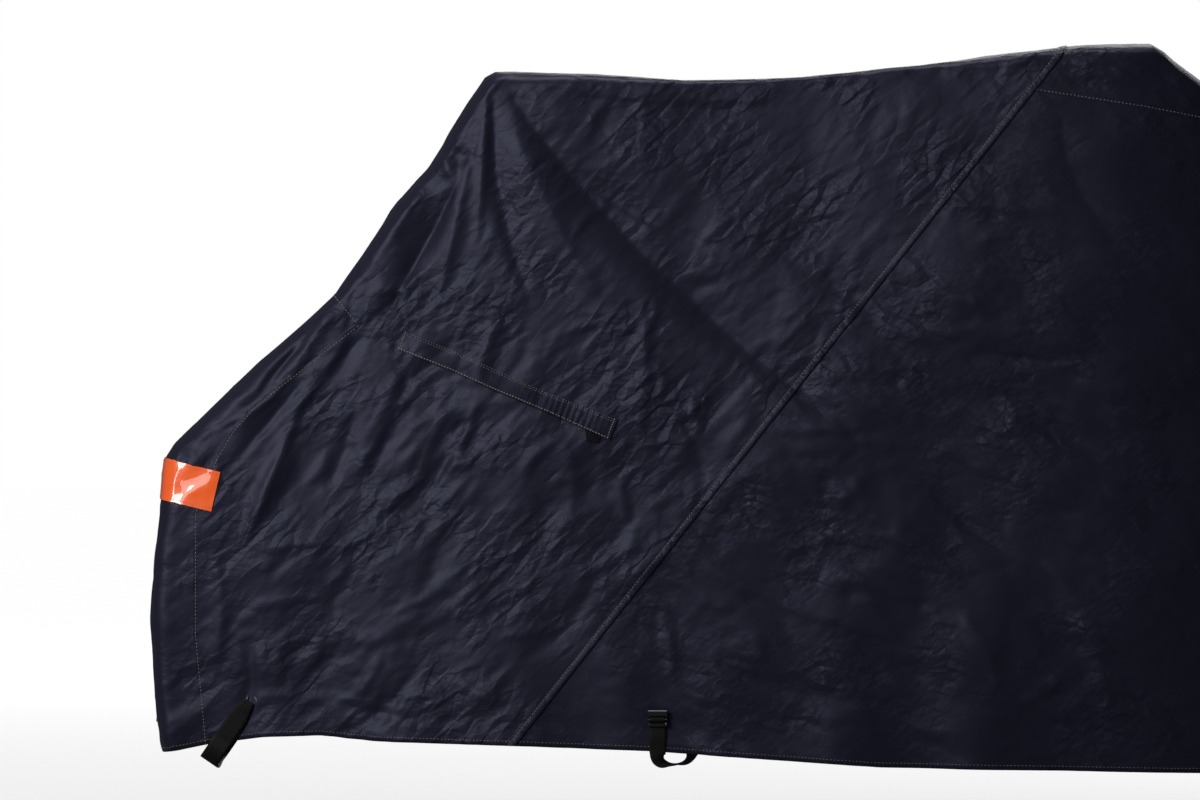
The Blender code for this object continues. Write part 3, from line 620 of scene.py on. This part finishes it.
def panel(name, corners, finish, lap=0.0):
    """The cloth inside these corners as a piece of its own, with its hem turned in. lap is how far
    its cut edges stand proud, where it is lapped over the panel beside it."""
    bm = cut_out(corners)
    bm.normal_update()
    edges = [e for e in bm.edges if e.is_boundary]
    hem = [e for e in edges if e.seam]
    if lap:
        cut = [e for e in edges if not e.seam]
        for vert in {v for e in cut for v in e.verts}:
            vert.co += lap * vert.normal
        push_edge(bm, cut, lambda v: -1.1 * lap * v.normal)
    if hem:
        below = Vector((0, 0, -0.0004))
        folded = push_edge(bm, hem, lambda v: below - HEM_FOLD * v.normal, crisp=False)
        push_edge(bm, folded, lambda v: Vector((0, 0, HEM_TURN)), crisp=False)
    obj = piece(name + "_cloth", bm, "nylon", finish, name)
    return obj


cloth = crumpled_cloth(*(((400, 212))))
for line in (DIAGONAL_SEAM, YOKE_SEAM, GUSSET_SEAM, STRIP_TOP, PATCH):
    cut_along(cloth, line)
cloth.verts.index_update()
cloth.normal_update()
cloth_places = face_places(cloth)


def crumpled_nylon(name, creases):
    """Navy nylon with creases too fine for the mesh, as (size, stretch, lean, steep) in the
    crumple's own sense. They are strong in patches, under an even grain of threads."""
    finish = Finish(
        name, base_color=(0.0188, 0.0184, 0.0365, 1), roughness=0.46, specular_ior_level=0.35,
        specular_tint=(0.68, 0.70, 1.0, 1),
    )  # fmt: skip
    at = finish.object_place()
    patches = finish.node("TexNoise", {}, {"Vector": at, "Scale": 11.0, "Detail": 2.0})
    worn = finish.node("MapRange", {}, {"Value": patches, 1: 0.42, 2: 0.72, 3: 0.12, 4: 1.0})
    height = 0.0
    for size, stretch, lean, steep in creases:
        turn = {"Vector": at, "Angle": math.radians(lean)}
        along_lean = finish.node("VectorRotate", {"rotation_type": "Y_AXIS"}, turn)
        cell = {0: along_lean, 1: (1 / (size * stretch), 1 / size, 1 / size)}
        cells = finish.node("VectorMath", {"operation": "MULTIPLY"}, cell)
        bend = finish.node("TexNoise", {}, {"Vector": cells, "Scale": 0.8, "Detail": 0.0}, 1)
        sway = {0: bend, 1: (0.8, 0.8, 0.8), 2: cells}
        bent = finish.node("VectorMath", {"operation": "MULTIPLY_ADD"}, sway)
        other = finish.node("VectorMath", {}, {0: bent, 1: (31.4, 17.2, 5.1)})
        ridge, valley = (
            finish.node("TexVoronoi", {}, {"Vector": v, "Scale": 1.0}) for v in (bent, other)
        )
        height = (valley**2 - ridge**2) * (size * steep) + height
    grain = finish.node("TexNoise", {}, {"Vector": at, "Scale": 1100.0, "Detail": 1.0})
    finish.emboss(height * worn + grain * 0.00002)
    return finish


nylon = crumpled_nylon("navy_nylon_rear", [(0.013, 2.4, 42, 0.17), (0.007, 1.8, -10, 0.09)])
rear = [*DIAGONAL_SEAM, (GUSSET_SEAM[-1][0], CLEAR), *GUSSET_SEAM[::-1]]
panel("rear_panel", rear, nylon)

# The front panel. One piece of the same nylon, from the diagonal seam down the front slope and
# round the front end, with its hem turned in. The photograph cuts that end off, so it is plain.
front_nylon = crumpled_nylon("navy_nylon_front", [(0.014, 2.6, -25, 0.15), (0.007, 1.8, 30, 0.08)])
lower = [DIAGONAL_SEAM[0], *YOKE_SEAM]
front = [*lower, (CLEAR, YOKE_SEAM[-1][1]), (CLEAR, 0)]
panel("front_panel", front, front_nylon)

# The top yoke. A cap of the same nylon over the front of the ridge. Its lower edge is lapped over
# the front panel and sewn down.
yoke = [DIAGONAL_SEAM[1], *YOKE_SEAM, (YOKE_SEAM[-1][0], CLEAR)]
panel("top_yoke", yoke, front_nylon, lap=0.0005)

# The rear gusset. A narrow panel of the same nylon that wraps round the rear end, with its edges
# sewn down a little proud of the rear panel.
gusset_side = [STRIP_TOP[0], *(p for p in GUSSET_SEAM if p[1] > STRIP_TOP[0][1])]
gusset = [*gusset_side, (-CLEAR, GUSSET_SEAM[-1][1]), (-CLEAR, STRIP_TOP[0][1])]
panel("rear_gusset", gusset, nylon, lap=0.0002)

# The eyelet strip. The foot of the rear end in the same nylon, sewn on under the gusset, with its
# hem turned in. It holds the eyelet.
strip_side = [*(p for p in GUSSET_SEAM if p[1] < STRIP_TOP[0][1]), STRIP_TOP[0]]
strip = [*strip_side, (-CLEAR, STRIP_TOP[0][1]), (-CLEAR, 0)]
panel("eyelet_strip", strip, nylon)


# The diagonal seam. The two large panels' edges, folded into each other and sewn flat, as a raised
# strip of nylon 9 mm wide with light thread along its rear half. The seams of the yoke and the
# gusset and both hems have rows of the same thread.
SEAM_STEP = 0.003
# (how far ahead of the seam's middle, how far off the cloth)
SEAM_PROFILE = [
    (-0.0046, 0.0002), (-0.0043, 0.0008), (-0.0036, 0.0011), (-0.0030, 0.0009), (-0.0022, 0.0013),
    (0.0010, 0.0016), (0.0036, 0.0018), (0.0044, 0.0014), (0.0045, 0.0001),
]  # fmt: skip
cloth_points = np.array([v.co for v in cloth.verts])
cloth_normals = np.array([v.normal for v in cloth.verts])
skin = BVHTree.FromBMesh(cloth)


def chain_along(line):
    """The points and normals of the cut along a line, from the near side over to the far side. The
    line ends outside the cover."""
    away, share, _ = distance(cloth_points[:, [0, 2]] - (0, GROUND), line)
    cut = np.flatnonzero(away < 0.0002)
    far = walked(line)
    left = far[-1] - np.interp(share[cut], np.linspace(0, 1, len(line)), far)
    y = cloth_points[cut, 1]
    cut = cut[np.argsort(y + np.sign(y) * left)]
    return cloth_points[cut], cloth_normals[cut]


def even_chain(chain, step):
    """A chain of points and normals laid out again at even steps."""
    points, normals = chain
    far = walked(points)
    at = np.linspace(0, far[-1], max(2, round(far[-1] / step)))
    places = [Vector(p) for p in at_lengths(at, far, points)]
    return places, [Vector(n).normalized() for n in at_lengths(at, far, normals)]


def runs(points):
    """The way that a line of points runs at each of them."""
    pairs = zip(points[:1] + points[:-1], points[1:] + points[-1:])
    return [(after - before).normalized() for before, after in pairs]


def beside_chain(chain, sideways, lift):
    """Points on the cloth beside a chain, lifted off it, with the run and the normal at each."""
    points, normals = chain
    laid = []
    for point, run, normal in zip(points, runs(points), normals):
        across = run.cross(normal).normalized()
        place = skin.find_nearest(point + sideways * across)[0]
        laid.append((place + lift * normal, run, normal))
    return laid


def stitches(bm, laid, long=0.0034, wide=0.0008, high=0.0006):
    """Short rounded stitches in thread, one at each laid point."""
    one = bmesh.new()
    bmesh.ops.create_icosphere(one, subdivisions=1, radius=1)
    shape = np.array([v.co for v in one.verts])
    faces = np.array([[v.index for v in f.verts] for f in one.faces])
    one.free()
    points = []
    for place, run, normal in laid:
        axes = run * long / 2, run.cross(normal) * wide / 2, normal * high / 2
        points.append(shape @ np.array(axes) + place)
    count = np.arange(len(points))[:, None, None] * len(shape)
    mesh = bpy.data.meshes.new("stitches")
    mesh.from_pydata(np.concatenate(points), [], (faces + count).reshape(-1, 3))
    bm.from_mesh(mesh)
    bpy.data.meshes.remove(mesh)


thread = Finish("light_thread", base_color=(0.30, 0.27, 0.23, 1), roughness=0.7)
seam_nylon = crumpled_nylon("seam_nylon", [(0.006, 1.8, -38, 0.25)])
diagonal = even_chain(chain_along(DIAGONAL_SEAM), SEAM_STEP)
rows = [beside_chain(diagonal, ahead, lift) for ahead, lift in SEAM_PROFILE]
bm = bmesh.new()
for vert, i, j in flat_grid(bm, len(rows[0]) - 1, len(rows) - 1):
    vert.co = rows[j][i][0]
bmesh.ops.recalc_face_normals(bm, faces=bm.faces)
piece("felled_seam", bm, "seam", seam_nylon, "diagonal_seam")

bm = bmesh.new()
chain = even_chain(chain_along(DIAGONAL_SEAM), 0.0044)
stitches(bm, beside_chain(chain, -0.0030, 0.0011), wide=0.0010)
for line, sideways in ((YOKE_SEAM, -0.0028), (GUSSET_SEAM, 0.0028)):
    chain = even_chain(chain_along(line), 0.0046)
    stitches(bm, beside_chain(chain, sideways, 0.0004), wide=0.0012)
above = Vector((0, 0, 0.0055))
for side in (-1, 1):
    hem = [v for v in cloth.verts if v.is_boundary and v.co.y * side > 0]
    hem.sort(key=lambda v: v.co.x)
    chain = np.array([v.co + above for v in hem]), np.array([v.normal for v in hem])
    stitches(bm, beside_chain(even_chain(chain, 0.0046), 0, 0.0003))
piece("seam_stitches", bm, "seam", thread)

# The orange patch. Glossy reflective film on cloth, sewn over the gusset and the panel round the
# rear end. It is stiffer than the nylon, so it lies smoother, and its edges stand a little proud.
PATCH_LIFT, PATCH_THICK, PATCH_SMOOTHINGS = 0.0014, 0.0013, 24
# Its emission is a painted glow, which makes the orange brighter than the lamps light it.
orange_film_painted_glow = Finish(
    "orange_film_painted_glow", base_color=(1.0, 0.135, 0.016, 1), roughness=0.30, coat_weight=1.0, coat_ior=2.1,
    coat_roughness=0.03, emission_color=(1.0, 0.12, 0.010, 1), emission_strength=0.42,
)  # fmt: skip
at = orange_film_painted_glow.object_place()
bends = orange_film_painted_glow.node("TexNoise", {}, {"Vector": at, "Scale": 42.0, "Detail": 1.0})
cells = orange_film_painted_glow.node("TexVoronoi", {}, {"Vector": at, "Scale": 420.0})
orange_film_painted_glow.emboss(bends * 0.0017 + cells * 0.00010)


def turn_edge(bm, thick):
    """Turns the edge of a cloth in all round, by its thickness."""
    bm.normal_update()
    push_edge(bm, [e for e in bm.edges if e.is_boundary], lambda v: -thick * v.normal)


bm = cut_out(PATCH)
rim = [v for v in bm.verts if v.is_boundary]
middle = [v for v in bm.verts if not v.is_boundary]
for _ in range(PATCH_SMOOTHINGS):
    for verts, axes in ((middle, "xyz"), (rim, "y")):
        free = {"use_axis_" + axis: axis in axes for axis in "xyz"}
        bmesh.ops.smooth_vert(bm, verts=verts, factor=0.5, **free)
    for vert in bm.verts:
        seat, normal = skin.find_nearest(vert.co)[:2]
        vert.co += max(PATCH_LIFT - (vert.co - seat).dot(normal), 0) * normal
turn_edge(bm, PATCH_THICK)
patch = piece("orange_patch", bm, "reflective_film", orange_film_painted_glow, "reflective_patch")

bm = bmesh.new()
for line, sideways in ((PATCH[1::-1], -0.0038), (PATCH[2:], 0.0038)):
    chain = even_chain(chain_along(line), 0.0042)
    stitches(bm, beside_chain(chain, sideways, PATCH_LIFT + 0.0002), long=0.0028)
piece("patch_stitches", bm, "seam", thread)

# The vent flap. A long narrow flap of the same nylon, doubled, and sewn along its top edge and both
# ends, with thick pale stitches along its loose foot, which gapes. Its front third is puckered.
FLAP_TOP = [(-0.650, 0.675), (-0.574, 0.645), (-0.474, 0.599), (-0.380, 0.563)]
FLAP_FOOT = [(-0.659, 0.652), (-0.589, 0.624), (-0.533, 0.599), (-0.470, 0.573), (-0.390, 0.537)]
FLAP_THICK = 0.0012
GAPE, GAPE_WAVE = 0.0058, 0.002  # of its loose foot
# (share along it, reach, depth)
PUCKERS, PUCKER_PITCH = (0.78, 0.13, 0.0011), 0.026
TUCKS = [(0.655, 0.010, -0.0022), (0.28, 0.02, -0.0014)]


def face_at(x, z, side):
    """How far out the cloth is at a place in side view, on the near side, -1, or the far, 1."""
    hit = skin.ray_cast(Vector((x, side * 0.4, z + GROUND)), Vector((0, -side, 0)))[0]
    return abs(hit.y) if hit else 0


def flap_point(i, j):
    """A point of the flap's face, at shares i along it and j up it."""
    (x0, z0), (x1, z1) = along(FLAP_FOOT, i), along(FLAP_TOP, i)
    x, z = x0 + (x1 - x0) * j, z0 + (z1 - z0) * j
    around = (0, 0), (0.006, 0), (-0.006, 0), (0, 0.006), (0, -0.006)
    seats = [face_at(x + a, z + b, -1) for a, b in around]
    wave = GAPE + GAPE_WAVE * noise.noise(Vector((9 * i, 0, 7)))
    gape = min(1, 6 * i, 6 * (1 - i)) * (1 - j) ** 1.5 * wave
    ripple, *tucks = (
        deep * math.exp(-(((i - at) / reach) ** 2)) for at, reach, deep in (PUCKERS, *TUCKS)
    )
    pucker = ripple * math.sin(2 * math.pi * i / PUCKER_PITCH) * (1 - 0.5 * j)
    lift = FLAP_THICK + 0.0005 + gape + pucker + sum(tucks) * (0.3 + 0.7 * (1 - j))
    return Vector((x, -max(sum(seats) / 5, seats[0]) - max(lift, FLAP_THICK), z + GROUND))


def face_near_side(bm):
    bm.normal_update()
    if sum(f.normal.y for f in bm.faces) > 0:
        bmesh.ops.reverse_faces(bm, faces=bm.faces)


bm = bmesh.new()
for vert in bmesh.ops.create_grid(bm, x_segments=150, y_segments=10, size=0.5)["verts"]:
    vert.co = flap_point(vert.co.x + 0.5, vert.co.y + 0.5)
face_near_side(bm)
turn_edge(bm, FLAP_THICK)
flap = piece("long_flap", bm, "nylon", nylon, "vent_flap")


def flap_row(start, end, count):
    """Places for stitches on the flap's face between two (i, j), as beside_chain gives them."""
    shares = np.linspace(0, 1, count)
    points = [flap_point(*(np.array(start) * (1 - t) + np.array(end) * t)) for t in shares]
    laid = []
    for point, run in zip(points, runs(points)):
        facing = (Vector((0, -1, 0)) - run * run.dot(Vector((0, -1, 0)))).normalized()
        laid.append((point + 0.0003 * facing, run, facing))
    return laid


bm = bmesh.new()
for j in (0.84, 0.95):
    stitches(bm, flap_row((0.01, j), (0.99, j), 80), long=0.0024)
stitches(bm, flap_row((0.01, 0.07), (0.99, 0.07), 74), long=0.0038, wide=0.0016, high=0.0009)
for i, wide in ((0.012, 0.0012), (0.988, 0.0018)):
    stitches(bm, flap_row((i, 0.08), (i, 0.95), 8), long=0.0034, wide=wide)
piece("flap_stitches", bm, "seam", thread)

# The pull tab. A small tab of black woven webbing under the front end of the flap, sewn in behind
# it and cut off at its foot.
TAB = [(-0.420, 0.550), (-0.401, 0.5412), (-0.405, 0.533), (-0.419, 0.536)]
TAB_LONG, TAB_WIDE, TAB_LIFT, TAB_THICK = 0.022, 0.016, 0.0016, 0.0014
black_webbing = Finish(
    "black_webbing", base_color=(0.004, 0.004, 0.0045, 1), roughness=0.6, specular_ior_level=0.35
)
on_strap = black_webbing.node("UVMap", {"uv_map": "strap"}, {})
weave = {"Vector": on_strap, "Scale": 1.0, "Brick Width": 0.0024, "Row Height": 0.0011,
         "Mortar Size": 0.0004, "Mortar Smooth": 1.0}  # fmt: skip
gaps = black_webbing.node("TexBrick", {}, weave, 1)
black_webbing.emboss(gaps * -0.00028)


def lay_weave(bm, long, wide):
    """The weave's own coordinates, in metres along and across a strap made from a grid."""
    strap = bm.loops.layers.uv["strap"]
    for face in bm.faces:
        for loop in face.loops:
            loop[strap].uv = loop[strap].uv.x * long, loop[strap].uv.y * wide


bm = bmesh.new()
bm.loops.layers.uv.new("strap")
verts = bmesh.ops.create_grid(bm, x_segments=4, y_segments=4, size=0.5, calc_uvs=True)["verts"]
lay_weave(bm, TAB_LONG, TAB_WIDE)
for vert in verts:
    i, j = vert.co.x + 0.5, vert.co.y + 0.5
    top, foot = along(TAB[:2], i), along(TAB[3:1:-1], i)
    x, z = foot + (top - foot) * j
    vert.co = (x, -face_at(x, z, -1) - TAB_LIFT, z + GROUND)
face_near_side(bm)
turn_edge(bm, TAB_THICK)
piece("pull_tab", bm, "webbing", black_webbing, "flap_tab")

# The rear strap. Black woven polyester webbing, 25 mm wide. It comes gathered out of a slit on each
# side of the cover, with a bartack at both ends of the slit, and passes under the hem at the rear.
WEBBING, GAP = 0.0014, 0.0003  # how thick it is, and how far it stays off the cloth
REAR_WIDTH, SEWN_X, SEWN_Z = 0.025, -0.845, 0.2065
ON_CLOTH = 0.060  # how much of it lies on each side
GATHERED, GATHER = 0.5, 0.026  # its share of breadth in the slits, and how far it takes to open out
BARTACKS = [(-0.8485, (0.35, 0, 0.94)), (-0.836, (0.62, 0, -0.78))]  # (x, the way it runs)


def lay_on(places, side, half):
    """The middle of a strap that lies on the cloth at these places, clear of it over its whole
    breadth of twice half, and taut from bump to bump."""
    out = [
        max(face_at(x + half.x * a, z + half.z * a, side) for a in np.linspace(-1, 1, 9))
        for x, z in places
    ]
    taut = [max(out[max(i - 1, 0) : i + 2]) + GAP + WEBBING / 2 for i in range(len(out))]
    return [Vector((x, side * y, z + GROUND)) for (x, z), y in zip(places, taut)]


def smooth_line(points, steps):
    """Points along a smooth curve through these, with steps of them in each stretch."""
    p = [2 * Vector(points[0]) - Vector(points[1])] + [Vector(q) for q in points]
    p.append(2 * p[-1] - p[-2])
    line = []
    for a, b, c, d in zip(p, p[1:], p[2:], p[3:]):
        for t in (i / steps for i in range(steps)):
            line.append(0.5 * (2 * b + (c - a) * t + (2 * a - 5 * b + 4 * c - d) * t**2
                               + (3 * b - a - 3 * c + d) * t**3))  # fmt: skip
    return line + [Vector(points[-1])]


def webbing(name, line, breadth):
    """A flat strap whose middle follows the line. breadth holds half its width as a vector, one for
    each point of the line."""
    bm = bmesh.new()
    bm.loops.layers.uv.new("strap")
    steps = len(line) - 1
    grid = bmesh.ops.create_grid(bm, x_segments=steps, y_segments=6, size=1, calc_uvs=True)
    lay_weave(bm, sum((b - a).length for a, b in zip(line, line[1:])), 2 * breadth[-1].length)
    for vert in grid["verts"]:
        i = round((vert.co.x + 1) / 2 * steps)
        vert.co = line[i] + vert.co.y * breadth[i]
    obj = piece(name + "_webbing", bm, "webbing", black_webbing, name)
    wall = obj.modifiers.new("Webbing", "SOLIDIFY")
    wall.thickness = WEBBING
    wall.offset = 0
    return obj


down, across = Vector((-0.565, 0, -0.825)), Vector((0.825, 0, -0.565))
half = across * REAR_WIDTH / 2
sides = []
for side in (-1, 1):
    on_cloth = [(SEWN_X + down.x * s, SEWN_Z + down.z * s) for s in np.linspace(0, ON_CLOTH, 8)]
    run = lay_on(on_cloth, side, half)
    run.append(run[-1] + down * 0.014)
    run.append(run[-1] + down * 0.012 + Vector((0, -0.006 * side, 0)))
    sides.append(run)
near, far = sides
low = near[-1] + down * 0.008
under = [Vector((low.x, y, low.z)) for y in (near[-1].y + 0.016, 0, far[-1].y - 0.016)]
under[1].z -= 0.004
line = smooth_line(near + under + far[::-1], 8)
far = walked(line)
from_end = np.minimum(far, far[-1] - far)
gathered = np.interp(from_end, [0, GATHER], [GATHERED, 1])
webbing("rear_strap", line, [half * float(share) for share in gathered])

bm = bmesh.new()
for side in (-1, 1):
    for x, run in BARTACKS:
        place = Vector((x, side * (face_at(x, 0.209, side) + 0.0018), 0.209 + GROUND))
        tack = place, Vector(run), Vector((0, side, 0))
        stitches(bm, [tack], long=0.0105, wide=0.0022, high=0.0016)
piece("strap_bartacks", bm, "seam", thread)

# The slider. A ladder of three bars between two rails, moulded in black plastic, with chamfered
# edges. It sits on the near side and isn't sewn: the belly strap holds it by its middle bar.
SLIDER_X, SLIDER_Z = -0.330, 0.188  # the middle of its middle bar
SLIDER_WIDE, SLIDER_TALL, SLIDER_DEEP, SLIDER_RISE = 0.025, 0.0205, 0.0026, 0.0014
SLOT_PITCH, BAR, RAIL, CHAMFER = 0.00545, 0.0022, 0.002, 0.0008
seat = max(
    face_at(SLIDER_X + x, SLIDER_Z + z, -1)
    for x in np.linspace(-SLIDER_WIDE / 2, SLIDER_WIDE / 2, 9)
    for z in np.linspace(-0.014, 0.0145, 9)
)
bars_back = WEBBING + 2 * GAP + 0.0002  # off the cloth, with the strap behind
black_plastic = Finish(
    "black_plastic", base_color=(0.018, 0.018, 0.019, 1), roughness=0.17, specular_ior_level=0.8
)
end, slot = SLIDER_TALL / 2, SLOT_PITCH - BAR
levels = [SLOT_PITCH / 2 - slot / 2, SLOT_PITCH / 2 + slot / 2]
levels = [-end + SLIDER_RISE, -levels[1], -levels[0], *levels, end + SLIDER_RISE]
columns = [-SLIDER_WIDE / 2, -SLIDER_WIDE / 2 + RAIL, SLIDER_WIDE / 2 - RAIL, SLIDER_WIDE / 2]
bm = bmesh.new()
for vert, i, j in flat_grid(bm, 3, 5):
    x, z = columns[i] + SLIDER_X, levels[j] + SLIDER_Z
    vert.co = (x, -(seat + bars_back), z + GROUND)
middle = [f for f in bm.faces if abs(f.calc_center_median().x - SLIDER_X) < RAIL]
middle.sort(key=lambda f: f.calc_center_median().z)
bmesh.ops.delete(bm, geom=[middle[1], middle[3]], context="FACES")
grown = bmesh.ops.extrude_face_region(bm, geom=bm.faces[:])["geom"]
grown = [v for v in grown if isinstance(v, bmesh.types.BMVert)]
bmesh.ops.translate(bm, verts=grown, vec=(0, -SLIDER_DEEP, 0))
bmesh.ops.recalc_face_normals(bm, faces=bm.faces)
sharp = [e for e in bm.edges if e.is_manifold and e.calc_face_angle() > 0.5]
bmesh.ops.bevel(bm, geom=sharp, offset=CHAMFER, offset_type="OFFSET", segments=1, profile=0.5,
                affect="EDGES", material=-1)  # fmt: skip
piece("slider", bm, "plastic", black_plastic, "ladder_buckle", smooth=False)

# The belly strap. Black woven webbing, 20 mm wide, sewn to the cloth above the slider and threaded
# round its middle bar. It hangs in a short loop, and passes under the cover to the far hem.
half = Vector((0.020 / 2, 0, 0))
behind = GAP + WEBBING / 2
front = bars_back + SLIDER_DEEP + behind
between = (behind + front) / 2
# (height from the middle bar, how far off the cloth) from the sewn end down through both slots
threaded = [
    (0.0098, behind), (0.0057, behind), (0.0040, behind + 0.0004), (0.0029, between),
    (0.0018, front - 0.0004), (0, front), (-0.0018, front - 0.0004), (-0.0029, between),
    (-0.0040, behind + 0.0004), (-0.0057, behind), (-0.0100, behind),
]  # fmt: skip
line = [Vector((SLIDER_X, -seat - out, SLIDER_Z + z + GROUND)) for z, out in threaded]
breadth = [half] * len(line)
near = lay_on([(SLIDER_X, z) for z in np.linspace(0.170, 0.152, 4)], -1, half)
far = lay_on([(-0.256, z) for z in np.linspace(0.149, 0.192, 6)], 1, half)
out, over = near[-1].y - 0.0005, far[0].y
# (x, y, z from the ground, how far its breadth has turned from along the cover to across it)
loop = [
    (-0.330, out, 0.148, 0), (-0.328, out, 0.140, 20), (-0.320, out + 0.004, 0.1345, 55),
    (-0.307, out + 0.010, 0.1325, 75), (-0.294, out + 0.018, 0.1365, 60),
    (-0.286, out + 0.024, 0.147, 45), (-0.282, out + 0.028, 0.160, 30),
    (-0.280, out + 0.036, 0.174, 15), (-0.276, out + 0.062, 0.181, 0), (-0.268, -0.030, 0.172, 0),
    (-0.261, 0.060, 0.154, 0), (-0.257, over - 0.040, 0.136, 0), (-0.256, over - 0.014, 0.1285, 0),
    (-0.256, over, 0.138, 0),
]  # fmt: skip
route = near + [Vector((x, y, z + GROUND)) for x, y, z, _ in loop] + far
turns = [0] * len(near) + [degrees for *_, degrees in loop] + [0] * len(far)
steps = 6
smooth = smooth_line(route, steps)
angles = np.interp(np.arange(len(smooth)) / steps, range(len(turns)), np.radians(turns))
for point, run, angle in zip(smooth, runs(smooth), angles):
    side = Vector((math.cos(angle), math.sin(angle), 0))
    line.append(point)
    breadth.append((side - run * side.dot(run)).normalized() * half.length)
webbing("belly_strap", line, breadth)

# The eyelet. A ring of nickelled steel, pressed through the cloth of the rear end. Its barrel lines
# the hole, and a flange holds the cloth on each side.
HOLE, BARREL, FLANGE, FLANGE_THICK = 0.0034, 0.0042, 0.0068, 0.0007  # radii, and a thickness
EYELET_LEAN = math.radians(7.6)
steel = Finish("nickelled_steel", base_color=(0.55, 0.55, 0.56, 1), roughness=0.28, metallic=1.0)
low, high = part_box("eyelet")
long = (high.x - low.x - 2 * FLANGE * math.sin(EYELET_LEAN)) / math.cos(EYELET_LEAN)
deep = long - 2 * FLANGE_THICK
back = -deep - FLANGE_THICK
profile = [
    (HOLE, FLANGE_THICK), (FLANGE - FLANGE_THICK, FLANGE_THICK), (FLANGE, FLANGE_THICK / 2),
    (FLANGE, 0), (BARREL, 0), (BARREL, -deep), (FLANGE, -deep), (FLANGE, back), (HOLE, back),
]  # fmt: skip
bm = bmesh.new()
ring = [bm.verts.new((r, 0, z + deep / 2)) for r, z in profile]
loop = [bm.edges.new(ends) for ends in zip(ring, ring[1:] + ring[:1])]
bmesh.ops.spin(bm, geom=ring + loop, axis=(0, 0, 1), cent=(0, 0, 0), steps=48, angle=math.tau,
               use_merge=True)  # fmt: skip
bmesh.ops.recalc_face_normals(bm, faces=bm.faces)
turned = Matrix.Rotation(-math.pi / 2 + EYELET_LEAN, 4, "Y")
bmesh.ops.transform(bm, verts=bm.verts, matrix=Matrix.Translation((low + high) / 2) @ turned)
piece("metal_eyelet", bm, "steel", steel, "eyelet", smooth=False)
